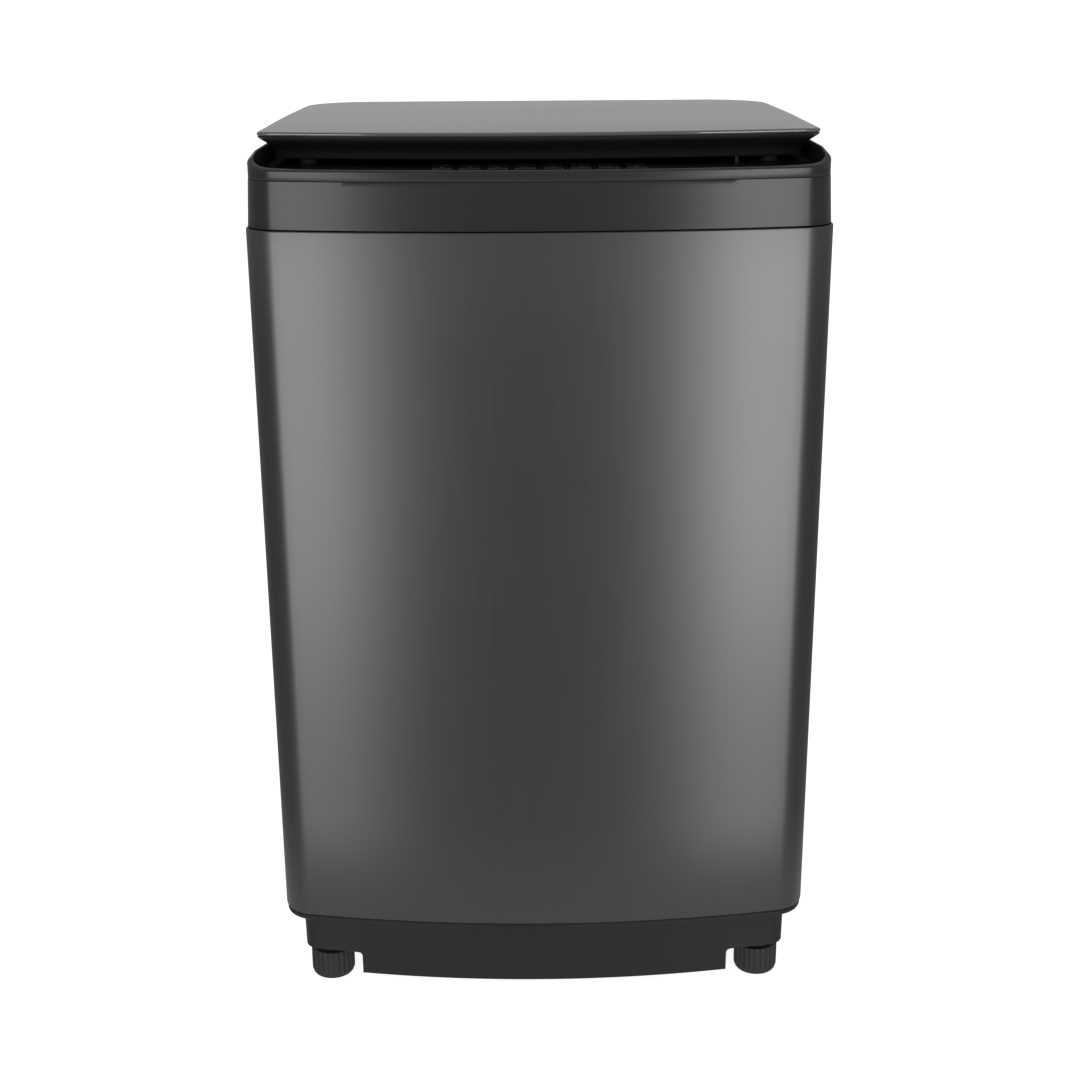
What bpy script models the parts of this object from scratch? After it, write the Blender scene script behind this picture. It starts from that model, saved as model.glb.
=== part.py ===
"""Top load washing machine: a bowed steel cabinet on a plastic base, a top frame with eight keys, a lid on a
rear hinge, and a tub assembly that hangs inside on four sprung rods. Blender 4.5, metres, +Z up, front at -Y.
The origin is on the floor, in the middle of the machine's box."""

import math

import bmesh
import bpy
from mathutils import Matrix, Vector

# Overall size
WIDTH = 0.590
DEPTH = 0.610
HEIGHT = 0.972
BOW = 0.030  # how far the middle of the front stands ahead of its corners
CORNER = 0.037  # radius of the upright front corners
REAR_CORNER = 0.006

HALF = WIDTH / 2
REAR = DEPTH / 2
FRONT = BOW - REAR  # the straight line through the two front corners
GAP = 0.0004  # between pieces that touch

# Heights above the floor
BASE_BOTTOM = 0.0390
BASE_ARCH = 0.0635  # lower edge of the base's wall beside the feet
CABINET_BOTTOM = 0.1206
CABINET_TOP = 0.8840
BAND_TOP = 0.9325
RIM_FRONT = 0.9430
RIM_SIDE = 0.9560
DECK = 0.9360
DECK_THICK = 0.003
FRAME_BOTTOM = CABINET_TOP + GAP

# Sheet and wall thicknesses
SHEET = 0.0012
WALL = 0.003

# Feet
FOOT_X = 0.2507
FOOT_FRONT_Y = FRONT + 0.074
FOOT_REAR_Y = 0.222
FOOT_RADIUS = 0.0252
FOOT_HEIGHT = 0.0355
FOOT_FLUTES = 13
STUD_RADIUS = 0.005
STUD_TOP = 0.082
POST_RADIUS = 0.022
SKIRT_HALF = 0.208

# Loading mouth in the top frame
MOUTH_Y = -0.004
MOUTH_HALF_X = 0.205
MOUTH_HALF_Y = 0.174
THROAT_RADIUS = 0.172
THROAT_BOTTOM = 0.8900

# Control panel and keys
PANEL_REAR = -0.196
PANEL_THICK = 0.0022
KEY_COUNT = 8
KEY_PITCH = 0.0276
KEY_WIDTH = 0.0215
KEY_DEPTH = 0.038
KEY_Y = -0.2255
KEY_TOP = 0.9398
KEY_STEM_BOTTOM = 0.9275

# Lid and its hinge
LID_SETBACK = 0.080
LID_HALF = 0.2865
LID_REAR = 0.2515
LID_FRONT_CORNER = 0.012
LID_REAR_CORNER = 0.072
LID_SWEEP = 0.036  # how far the fascia goes back below the lip
LID_RING = 0.060  # how far the frame reaches in from the lip
LID_BOTTOM = 0.9425
GLASS_THICK = 0.0040
HINGE_Y = 0.270
HINGE_Z = 0.9505
HINGE_X = 0.185
HINGE_ARM = 0.030
BARREL_RADIUS = 0.0070
PIN_RADIUS = 0.0030
PIN_HALF = 0.026
HINGE_POCKET_FRONT = 0.2560

# Detergent drawer
DRAWER_HALF = 0.0780
DRAWER_BOTTOM = 0.8950
DRAWER_TOP = 0.9275
DRAWER_FRONT = 0.1560
DRAWER_BACK = 0.2420
HOUSING_CLEAR = 0.004

# Tub assembly, all on the middle axis
SEGMENTS = 32
TUB_RADIUS = 0.250
TUB_BOTTOM = 0.345
TUB_TOP = 0.858
TUB_HOLE = 0.034
BASKET_RADIUS = 0.222
BASKET_WALL = 0.0016
BASKET_BOTTOM = 0.384
BASKET_TOP = 0.838
RING_TOP = 0.852
RING_BOTTOM = 0.812
RING_INNER = 0.184
PULSATOR_RADIUS = 0.168
PULSATOR_BOTTOM = 0.3955
TUBE_RADIUS = 0.0155
SHAFT_RADIUS = 0.0095

# Drive under the tub
GEARBOX_RADIUS = 0.058
GEARBOX_BOTTOM = 0.238
PLATE_BOTTOM = 0.322
PLATE_THICK = 0.003
MOTOR_Y = 0.158
MOTOR_RADIUS = 0.058
MOTOR_BOTTOM = 0.236
BELT_Z = 0.2120
BELT_HEIGHT = 0.008
BELT_THICK = 0.0045
BIG_PULLEY = 0.066  # radius that the belt's inner side runs on
SMALL_PULLEY = 0.0165

# Suspension
ROD_X = 0.2420
ROD_Y = 0.2280
ROD_RADIUS = 0.0035
ROD_TOP = 0.8650
RING_Z = 0.8525  # upper face of the ring that carries the rods
RING_HOLE = 0.2720
LUG_BOTTOM = 0.4050
LUG_TOP = 0.4200
CUP_BOTTOM = 0.2450
CUP_TOP = 0.2560
CUP_RADIUS = 0.0200
SPRING_RADIUS = 0.0150
SPRING_WIRE = 0.0022
SPRING_TURNS = 5

# Places of the small pieces
LATCH_X = 0.2050
LATCH_Y = -0.1600
BUMPER_X = 0.2400
BUMPER_Y = -0.1560
VALVE_X = 0.1450
VALVE_Z = 0.9080
DRAIN_X = -0.1900
DRAIN_Z = 0.1700
CORD_X = 0.2050
CORD_Z = 0.2100
VALVE_BODY_X = -0.1450
VALVE_BODY_Y = -0.0450

STEEL_DARK = ("dark_steel", (0.115, 0.115, 0.118), 0.32, 0.9)
BAND_DARK = ("dark_band", (0.080, 0.078, 0.074), 0.25, 0.7)
PLASTIC_BLACK = ("black_plastic", (0.012, 0.012, 0.012), 0.45, 0.0)
PANEL_BLACK = ("panel_black", (0.008, 0.008, 0.008), 0.12, 0.0)
KEY_GREY = ("key_grey", (0.060, 0.060, 0.060), 0.35, 0.0)
GLASS_GREY = ("lid_glass_grey", (0.200, 0.200, 0.205), 0.08, 0.0)
PLASTIC_GREY = ("grey_plastic", (0.380, 0.390, 0.400), 0.45, 0.0)
PLASTIC_WHITE = ("white_plastic", (0.720, 0.720, 0.710), 0.50, 0.0)
STAINLESS = ("stainless", (0.620, 0.620, 0.630), 0.22, 1.0)
ZINC = ("zinc_steel", (0.450, 0.450, 0.440), 0.40, 1.0)
CASTING = ("aluminium_casting", (0.520, 0.520, 0.530), 0.50, 1.0)
RUBBER = ("black_rubber", (0.015, 0.015, 0.015), 0.80, 0.0)


# ---------------------------------------------------------------- tools

def material(spec):
    """The Principled material of a (name, colour, roughness, metallic) line, made once."""
    name, colour, roughness, metallic = spec
    made = bpy.data.materials.get(name)
    if made is None:
        made = bpy.data.materials.new(name)
        made.use_nodes = True
        shader = made.node_tree.nodes["Principled BSDF"]
        shader.inputs["Base Color"].default_value = (*colour, 1)
        shader.inputs["Roughness"].default_value = roughness
        shader.inputs["Metallic"].default_value = metallic
        made.diffuse_color = (*colour, 1)
    return made


def finish(name, bm, spec):
    """A named object from a bmesh, with its normals outwards and round faces shaded smooth."""
    bmesh.ops.recalc_face_normals(bm, faces=bm.faces)
    mesh = bpy.data.meshes.new(name)
    bm.to_mesh(mesh)
    bm.free()
    mesh.shade_smooth()
    mesh.set_sharp_from_angle(angle=math.radians(30))
    made = bpy.data.objects.new(name, mesh)
    bpy.context.scene.collection.objects.link(made)
    made.data.materials.append(material(spec))
    return made


def loft(name, loops, spec, closed=False):
    """A solid through loops with equal numbers of points. Closed joins the last loop to the first, as in a ring;
    otherwise the first and last loops are capped."""
    bm = bmesh.new()
    rows = [[bm.verts.new(point) for point in loop] for loop in loops]
    count = len(rows[0])
    pairs = list(zip(rows, rows[1:]))
    if closed:
        pairs.append((rows[-1], rows[0]))
    for below, above in pairs:
        for i in range(count):
            j = (i + 1) % count
            bm.faces.new((below[i], below[j], above[j], above[i]))
    if not closed:
        bm.faces.new(rows[0])
        bm.faces.new(rows[-1])
    return finish(name, bm, spec)


def circle(radius, z, count=SEGMENTS, centre=(0, 0)):
    """Points of a level circle."""
    turns = (2 * math.pi * i / count for i in range(count))
    return [Vector((centre[0] + radius * math.cos(a), centre[1] + radius * math.sin(a), z)) for a in turns]


def turned(name, profile, spec, count=SEGMENTS, centre=(0, 0), closed=False):
    """A solid of revolution about an upright axis, from (radius, z) points."""
    return loft(name, [circle(r, z, count, centre) for r, z in profile], spec, closed)


def prism(name, outline, z0, z1, spec):
    """An outline of (x, y) points made solid between two heights."""
    return loft(name, [[Vector((x, y, z)) for x, y in outline] for z in (z0, z1)], spec)


def box(name, low, high, spec, bevel=0.0):
    """A block between two corners, with its edges rounded by bevel."""
    bm = bmesh.new()
    bmesh.ops.create_cube(bm, size=1.0)
    size = [h - l for l, h in zip(low, high)]
    middle = [(h + l) / 2 for l, h in zip(low, high)]
    bmesh.ops.scale(bm, vec=size, verts=bm.verts)
    bmesh.ops.translate(bm, vec=middle, verts=bm.verts)
    if bevel:
        bmesh.ops.bevel(bm, geom=bm.edges, offset=bevel, segments=1, affect="EDGES", clamp_overlap=True)
    return finish(name, bm, spec)


def rod(name, start, end, radius, spec, count=16):
    """A round bar between two points."""
    start, end = Vector(start), Vector(end)
    along = end - start
    turn = along.to_track_quat("Z", "Y").to_matrix().to_4x4()
    bm = bmesh.new()
    bmesh.ops.create_cone(bm, cap_ends=True, segments=count, radius1=radius, radius2=radius, depth=along.length)
    bmesh.ops.transform(bm, matrix=Matrix.Translation((start + end) / 2) @ turn, verts=bm.verts)
    return finish(name, bm, spec)


def boolean(target, other, operation, solver="EXACT"):
    """Applies a Boolean of other on target, and removes other."""
    modifier = target.modifiers.new("cut", "BOOLEAN")
    modifier.operation = operation
    modifier.solver = solver
    modifier.object = other
    with bpy.context.temp_override(object=target, active_object=target):
        bpy.ops.object.modifier_apply(modifier=modifier.name)
    bpy.data.objects.remove(other)
    return target


def cut(target, *others, solver="EXACT"):
    for other in others:
        boolean(target, other, "DIFFERENCE", solver)
    return target


def join(target, *others, solver="EXACT"):
    for other in others:
        boolean(target, other, "UNION", solver)
    return target


def tube_along(name, points, radius, spec, sides=2):
    """A round tube along a list of points, made from a bevelled curve."""
    curve = bpy.data.curves.new(name, "CURVE")
    curve.dimensions = "3D"
    curve.bevel_depth = radius
    curve.bevel_resolution = sides
    curve.use_fill_caps = True
    spline = curve.splines.new("POLY")
    spline.points.add(len(points) - 1)
    for point, place in zip(spline.points, points):
        point.co = (*place, 1)
    made = bpy.data.objects.new(name, curve)
    bpy.context.scene.collection.objects.link(made)
    made.data.materials.append(material(spec))
    return made


def smooth_step(value, low, high):
    share = min(1.0, max(0.0, (value - low) / (high - low)))
    return share * share * (3 - 2 * share)


# ---------------------------------------------------------------- plan outlines

def corner_arc(centre, radius, start, end, count):
    """Points of a corner from one direction to another, in degrees anticlockwise from +X."""
    steps = (start + (end - start) * i / count for i in range(count + 1))
    return [
        (centre[0] + radius * math.cos(math.radians(a)), centre[1] + radius * math.sin(math.radians(a)))
        for a in steps
    ]


def spread_line(start, end, count):
    """Points between two ends, without the ends."""
    return [
        (start[0] + (end[0] - start[0]) * i / count, start[1] + (end[1] - start[1]) * i / count)
        for i in range(1, count)
    ]


def bowed_outline(half, front, rear, front_corner, rear_corner, front_steps=14, side_steps=7, rear_steps=8):
    """A plan with a bowed front edge and four round corners, anticlockwise from the front's left end.
    The bow is a parabola that reaches BOW ahead of the line through the corners."""
    slope = 2 * BOW * (half - front_corner) / half**2
    lean = math.degrees(math.atan(slope))
    edge_x = half - front_corner + front_corner * math.sin(math.radians(lean))
    edge_y = front - BOW * (1 - (edge_x / half) ** 2)
    centre_y = edge_y + front_corner * math.cos(math.radians(lean))
    bow = []
    for i in range(front_steps + 1):
        x = edge_x * (2 * i / front_steps - 1)
        bow.append((x, front - BOW * (1 - (x / half) ** 2)))
    right_front = corner_arc((half - front_corner, centre_y), front_corner, -90 + lean, 0, 5)[1:]
    right_rear = corner_arc((half - rear_corner, rear - rear_corner), rear_corner, 0, 90, 3)
    left_rear = [(-x, y) for x, y in reversed(right_rear)]
    left_front = [(-x, y) for x, y in reversed(right_front)]
    return [
        *bow,
        *right_front,
        *spread_line(right_front[-1], right_rear[0], side_steps),
        *right_rear,
        *spread_line(right_rear[-1], left_rear[0], rear_steps),
        *left_rear,
        *spread_line(left_rear[-1], left_front[0], side_steps),
        *left_front,
    ]


def machine_outline(inset, rear_inset=None):
    """The machine's plan, moved in by inset."""
    rear_inset = inset if rear_inset is None else rear_inset
    return bowed_outline(
        HALF - inset,
        FRONT + inset,
        REAR - rear_inset,
        max(CORNER - inset, 0.004),
        max(REAR_CORNER - inset, 0.004),
    )


def level(outline, z):
    """The outline's points at a height, which is a number or a function of y."""
    return [Vector((x, y, z(y) if callable(z) else z)) for x, y in outline]


def open_wall(name, inset, thick, rear_y, z0, z1, spec, top_inset=None, flange=0.0):
    """A wall round the front and sides, open at the back, which ends at rear_y. Flange turns its two ends inwards."""
    top_inset = inset if top_inset is None else top_inset

    def section(inset_now):
        outer = [p for p in machine_outline(inset_now, inset_now) if p[1] < REAR - 0.012]
        inner = [p for p in machine_outline(inset_now + thick, inset_now) if p[1] < REAR - 0.012]
        # The outline starts at the front's left end, so the list is turned to start at the left side's back.
        start = max(i for i, p in enumerate(outer) if p[0] < 0 and p[1] == max(q[1] for q in outer if q[0] < 0))
        outer = outer[start:] + outer[:start]
        inner = inner[start:] + inner[:start]
        edge, lip = HALF - inset_now, flange + thick
        if flange:
            left = [(-edge + lip, rear_y), (-edge, rear_y)]
            right = [(edge, rear_y), (edge - lip, rear_y)]
            left_in = [(-edge + lip, rear_y - thick), (-edge + thick, rear_y - thick)]
            right_in = [(edge - thick, rear_y - thick), (edge - lip, rear_y - thick)]
        else:
            left, right = [(-edge, rear_y)], [(edge, rear_y)]
            left_in, right_in = [(-edge + thick, rear_y)], [(edge - thick, rear_y)]
        return left + outer + right, left_in + inner + right_in

    low_out, low_in = section(inset)
    high_out, high_in = section(top_inset)
    low = low_out + low_in[::-1]
    high = high_out + high_in[::-1]
    return loft(name, [level(low, z0), level(high, z1)], spec)


# ---------------------------------------------------------------- casing

def make_cabinet():
    """The steel wrap, with a level ring near its top whose corners carry the suspension rods."""
    shell = open_wall("cabinet_shell", 0.0, SHEET, REAR - 0.0021, CABINET_BOTTOM + GAP, CABINET_TOP, STEEL_DARK, flange=0.022)
    plan = machine_outline(0.0006, 0.0090)
    ring = loft("ring", [
        level(plan, RING_Z - 0.0020),
        level(plan, RING_Z),
        mouth_loop(plan, RING_HOLE, RING_HOLE, RING_Z, 2.0),
        mouth_loop(plan, RING_HOLE, RING_HOLE, RING_Z - 0.0020, 2.0),
    ], STEEL_DARK, closed=True)
    join(shell, ring)
    for place in rod_places().values():
        hole = (ROD_RADIUS + 0.0010, RING_Z - 0.01), (ROD_RADIUS + 0.0010, RING_Z + 0.01)
        cut(shell, turned("rod_hole", hole, STEEL_DARK, 12, place))


def make_rear_panel():
    """A pressed sheet on the cabinet's rear flanges, with three sunk fields and holes for the drain and the cord."""
    low, high = CABINET_BOTTOM + 0.002, CABINET_TOP - 0.002
    half = HALF - 0.004
    outer_y = REAR - 0.0006
    bm = bmesh.new()
    bmesh.ops.create_grid(bm, x_segments=1, y_segments=3, size=0.5)
    bmesh.ops.scale(bm, vec=(2 * half, high - low, 1), verts=bm.verts)
    upright = Matrix.Translation((0, outer_y, (low + high) / 2)) @ Matrix.Rotation(math.pi / 2, 4, "X")
    bmesh.ops.transform(bm, matrix=upright, verts=bm.verts)
    fields = list(bm.faces)
    bmesh.ops.inset_individual(bm, faces=fields, thickness=0.040)
    bmesh.ops.inset_individual(bm, faces=fields, thickness=0.010)
    bmesh.ops.translate(bm, vec=(0, -0.006, 0), verts=list({v for f in fields for v in f.verts}))
    panel = finish("rear_panel", bm, ZINC)
    thicken = panel.modifiers.new("sheet", "SOLIDIFY")
    thicken.thickness = 0.0011
    thicken.offset = -1 if panel.data.polygons[0].normal.y > 0 else 1
    with bpy.context.temp_override(object=panel, active_object=panel):
        bpy.ops.object.modifier_apply(modifier=thicken.name)
    drain = rod("drain_cutter", (DRAIN_X, REAR - 0.03, DRAIN_Z), (DRAIN_X, REAR + 0.01, DRAIN_Z), 0.0235, ZINC, 20)
    cord = rod("cord_cutter", (CORD_X, REAR - 0.03, CORD_Z), (CORD_X, REAR + 0.01, CORD_Z), 0.0095, ZINC, 16)
    cut(panel, drain, cord)


def make_base():
    """The pedestal: a deck ring under the cabinet, a wall set in from it, and a post round each foot."""
    deck = loft(
        "base_frame",
        [
            level(machine_outline(0.0015), CABINET_BOTTOM - 0.0065),
            level(machine_outline(0.0015), CABINET_BOTTOM),
            level(bowed_outline(0.200, -0.195, 0.205, 0.05, 0.05), CABINET_BOTTOM),
            level(bowed_outline(0.200, -0.195, 0.205, 0.05, 0.05), CABINET_BOTTOM - 0.0065),
        ],
        PLASTIC_BLACK,
        closed=True,
    )
    wall = loft(
        "wall",
        [
            level(machine_outline(0.0200), BASE_BOTTOM),
            level(machine_outline(0.0188), CABINET_BOTTOM - 0.0045),
            level(machine_outline(0.0222), CABINET_BOTTOM - 0.0045),
            level(machine_outline(0.0230), BASE_BOTTOM),
        ],
        PLASTIC_BLACK,
        closed=True,
    )
    join(deck, wall)
    # The wall stops short beside each foot, so the feet can be reached and turned.
    for side in (-1, 1):
        xs = sorted((side * SKIRT_HALF, side * (HALF + 0.01)))
        for y0, y1 in ((-REAR - 0.01, FOOT_FRONT_Y + 0.046), (FOOT_REAR_Y - 0.046, REAR + 0.01)):
            cut(deck, box("arch", (xs[0], y0, 0.0), (xs[1], y1, BASE_ARCH), PLASTIC_BLACK))
    cut(deck, box("rear_arch", (-SKIRT_HALF - 0.01, REAR - 0.06, 0.0), (SKIRT_HALF + 0.01, REAR + 0.01, 0.085), PLASTIC_BLACK))
    for place in foot_places().values():
        post = turned("post", [(POST_RADIUS, FOOT_HEIGHT + 0.0010), (POST_RADIUS, CABINET_BOTTOM - 0.0030)], PLASTIC_BLACK, 24, place)
        join(deck, post)
        cut(deck, turned("bore", [(STUD_RADIUS + 0.0008, 0.0), (STUD_RADIUS + 0.0008, 0.0900)], PLASTIC_BLACK, 12, place))


def foot_places():
    return {
        "foot_front_left": (-FOOT_X, FOOT_FRONT_Y),
        "foot_front_right": (FOOT_X, FOOT_FRONT_Y),
        "foot_rear_left": (-FOOT_X, FOOT_REAR_Y),
        "foot_rear_right": (FOOT_X, FOOT_REAR_Y),
    }


def make_feet():
    """Each foot is a fluted knob on an upright screw. Turning it raises or lowers that corner."""
    count = 2 * FOOT_FLUTES

    def fluted(radius, depth, z):
        return [
            Vector(((radius - (depth if i % 2 else 0)) * math.cos(math.pi * i / FOOT_FLUTES),
                    (radius - (depth if i % 2 else 0)) * math.sin(math.pi * i / FOOT_FLUTES), z))
            for i in range(count)
        ]

    for name, (x, y) in foot_places().items():
        loops = [
            fluted(FOOT_RADIUS - 0.0045, 0.0, 0.0),
            fluted(FOOT_RADIUS - 0.0012, 0.0004, 0.0022),
            fluted(FOOT_RADIUS, 0.0014, 0.0065),
            fluted(FOOT_RADIUS, 0.0014, FOOT_HEIGHT - 0.0012),
            fluted(FOOT_RADIUS - 0.0018, 0.0008, FOOT_HEIGHT),
            fluted(STUD_RADIUS, 0.0, FOOT_HEIGHT),
            fluted(STUD_RADIUS, 0.0, STUD_TOP),
        ]
        foot = loft(name, loops, RUBBER)
        foot.location = (x, y, 0)


def make_trim_band():
    open_wall("trim_band", 0.0024, 0.0022, REAR - 0.0060, CABINET_TOP + 0.0010, BAND_TOP - 0.0008, BAND_DARK, 0.0050)


def mouth_loop(like, half_x, half_y, z, square=4.0):
    """A rounded loop round the mouth, with a point in the direction of each point of the loop like."""
    found = []
    for x, y in like:
        angle = math.atan2(y - MOUTH_Y, x)
        c, s = abs(math.cos(angle)), abs(math.sin(angle))
        reach = ((c / half_x) ** square + (s / half_y) ** square) ** (-1 / square)
        found.append(Vector((reach * math.cos(angle), MOUTH_Y + reach * math.sin(angle), z)))
    return found


def rim_height(y):
    """The rim is low across the front, where the keys are reached, and rises in the front corners to its full height."""
    return RIM_FRONT + (RIM_SIDE - RIM_FRONT) * smooth_step(y, FRONT - 0.004, FRONT + 0.050)


def make_top_frame():
    """The frame on the cabinet: a wall behind the trim band, a rim, a deck and the throat of the loading mouth."""
    shift = 0.0076
    plan = machine_outline(0.0)
    inner_rear = REAR - HINGE_POCKET_FRONT
    rim_in = machine_outline(0.0126, inner_rear)
    rim_foot = machine_outline(0.0131, inner_rear + 0.0005)
    under = machine_outline(0.0102)
    throat = THROAT_RADIUS / MOUTH_HALF_Y
    loops = [
        level(machine_outline(0.0056), FRAME_BOTTOM),
        level(machine_outline(shift), BAND_TOP - 0.0004),
        level(machine_outline(0.0052, 0.0), BAND_TOP),
        level(machine_outline(0.0060, 0.0), lambda y: rim_height(y) - 0.0042),
        level(machine_outline(0.0072, 0.0016), lambda y: rim_height(y) - 0.0012),
        level(machine_outline(0.0092, 0.0038), rim_height),
        level(machine_outline(0.0114, inner_rear - 0.0012), rim_height),
        level(rim_in, lambda y: rim_height(y) - 0.0012),
        level(rim_foot, DECK),
        mouth_loop(plan, MOUTH_HALF_X + 0.004, MOUTH_HALF_Y + 0.004, DECK),
        mouth_loop(plan, MOUTH_HALF_X, MOUTH_HALF_Y, DECK - 0.004),
        mouth_loop(plan, THROAT_RADIUS, THROAT_RADIUS, THROAT_BOTTOM, 2.0),
        mouth_loop(plan, THROAT_RADIUS + WALL, THROAT_RADIUS + WALL, THROAT_BOTTOM, 2.0),
        mouth_loop(plan, MOUTH_HALF_X + WALL, MOUTH_HALF_Y + WALL, DECK - DECK_THICK - 0.003),
        mouth_loop(plan, MOUTH_HALF_X + 0.006, MOUTH_HALF_Y + 0.006, DECK - DECK_THICK),
        level(under, DECK - DECK_THICK),
        level(under, FRAME_BOTTOM),
    ]
    frame = loft("top_frame", loops, PLASTIC_BLACK, closed=True)
    for side in (-1, 1):
        middle = side * HINGE_X
        half = HINGE_ARM / 2 + 0.002
        pocket = box("pocket", (middle - half, HINGE_POCKET_FRONT - 0.010, DECK + 0.0045),
                     (middle + half, HINGE_Y + BARREL_RADIUS + 0.003, RIM_SIDE + 0.02), PLASTIC_BLACK)
        hole = rod("hole", (middle - PIN_HALF - GAP, HINGE_Y, HINGE_Z), (middle + PIN_HALF + GAP, HINGE_Y, HINGE_Z),
                   PIN_RADIUS + 0.0003, PLASTIC_BLACK)
        cut(frame, pocket, hole, solver="MANIFOLD")
    key_row = KEY_PITCH * (KEY_COUNT - 1) / 2 + KEY_WIDTH / 2 + 0.003
    key_slot = box("key_slot", (-key_row, KEY_Y - KEY_DEPTH / 2 - 0.002, DECK - 0.02),
                   (key_row, KEY_Y + KEY_DEPTH / 2 + 0.002, DECK + 0.01), PLASTIC_BLACK)
    drawer_window = box("drawer_window", (-DRAWER_HALF - 0.0065, 0.130, DRAWER_BOTTOM - 0.0035),
                        (DRAWER_HALF + 0.0065, 0.186, DRAWER_TOP + 0.0020), PLASTIC_BLACK)
    latch_slot = box("latch_slot", (LATCH_X - 0.004, LATCH_Y - 0.009, DECK - 0.02),
                     (LATCH_X + 0.004, LATCH_Y + 0.009, DECK + 0.01), PLASTIC_BLACK)
    valve_hole = rod("valve_hole", (VALVE_X, REAR - 0.03, VALVE_Z), (VALVE_X, REAR + 0.01, VALVE_Z), 0.0160, PLASTIC_BLACK, 20)
    cut(frame, key_slot, drawer_window, latch_slot, valve_hole, solver="MANIFOLD")


# ---------------------------------------------------------------- controls

def key_places():
    first = -KEY_PITCH * (KEY_COUNT - 1) / 2
    return {f"key_{i + 1}": first + i * KEY_PITCH for i in range(KEY_COUNT)}


def make_controls():
    """A gloss panel on the deck in front of the lid, with eight keys in a row, and the circuit board under them."""
    inner = [(x, y) for x, y in machine_outline(0.0135) if y < PANEL_REAR - 0.004]
    start = max(range(len(inner)), key=lambda i: (inner[i][0] < 0, inner[i][1]))
    outline = inner[start:] + inner[:start]
    outline = [(outline[0][0], PANEL_REAR), *outline, (outline[-1][0], PANEL_REAR)]
    panel = prism("control_panel", outline, DECK + GAP, DECK + GAP + PANEL_THICK, PANEL_BLACK)
    for name, x in key_places().items():
        half_x, half_y = KEY_WIDTH / 2 + 0.0005, KEY_DEPTH / 2 + 0.0005
        cut(panel, box("key_hole", (x - half_x, KEY_Y - half_y, DECK - 0.01), (x + half_x, KEY_Y + half_y, DECK + 0.01), PANEL_BLACK))
        key = box(name, (-KEY_WIDTH / 2, -KEY_DEPTH / 2, KEY_STEM_BOTTOM - KEY_TOP), (KEY_WIDTH / 2, KEY_DEPTH / 2, 0), KEY_GREY, 0.0008)
        key.location = (x, KEY_Y, KEY_TOP)
    box("control_board", (-0.135, -0.275, 0.9080), (0.135, -0.205, 0.9235), PLASTIC_WHITE, 0.002)


def make_bumpers():
    """Two rubber pads on the deck, which the closed lid rests on."""
    for side, name in ((-1, "bumper_left"), (1, "bumper_right")):
        turned(name, [(0.0085, DECK + GAP), (0.0085, LID_BOTTOM - 0.0020), (0.0065, LID_BOTTOM - GAP)], RUBBER, 16,
               (side * BUMPER_X, BUMPER_Y))


# ---------------------------------------------------------------- lid

def lid_outline(side, front):
    """The lid's plan, moved in by side along its sides and back, and by front along its front."""
    return bowed_outline(
        LID_HALF - side,
        FRONT + LID_SETBACK + front,
        LID_REAR - side,
        LID_FRONT_CORNER,
        LID_REAR_CORNER,
        front_steps=14,
        side_steps=6,
        rear_steps=8,
    )


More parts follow.
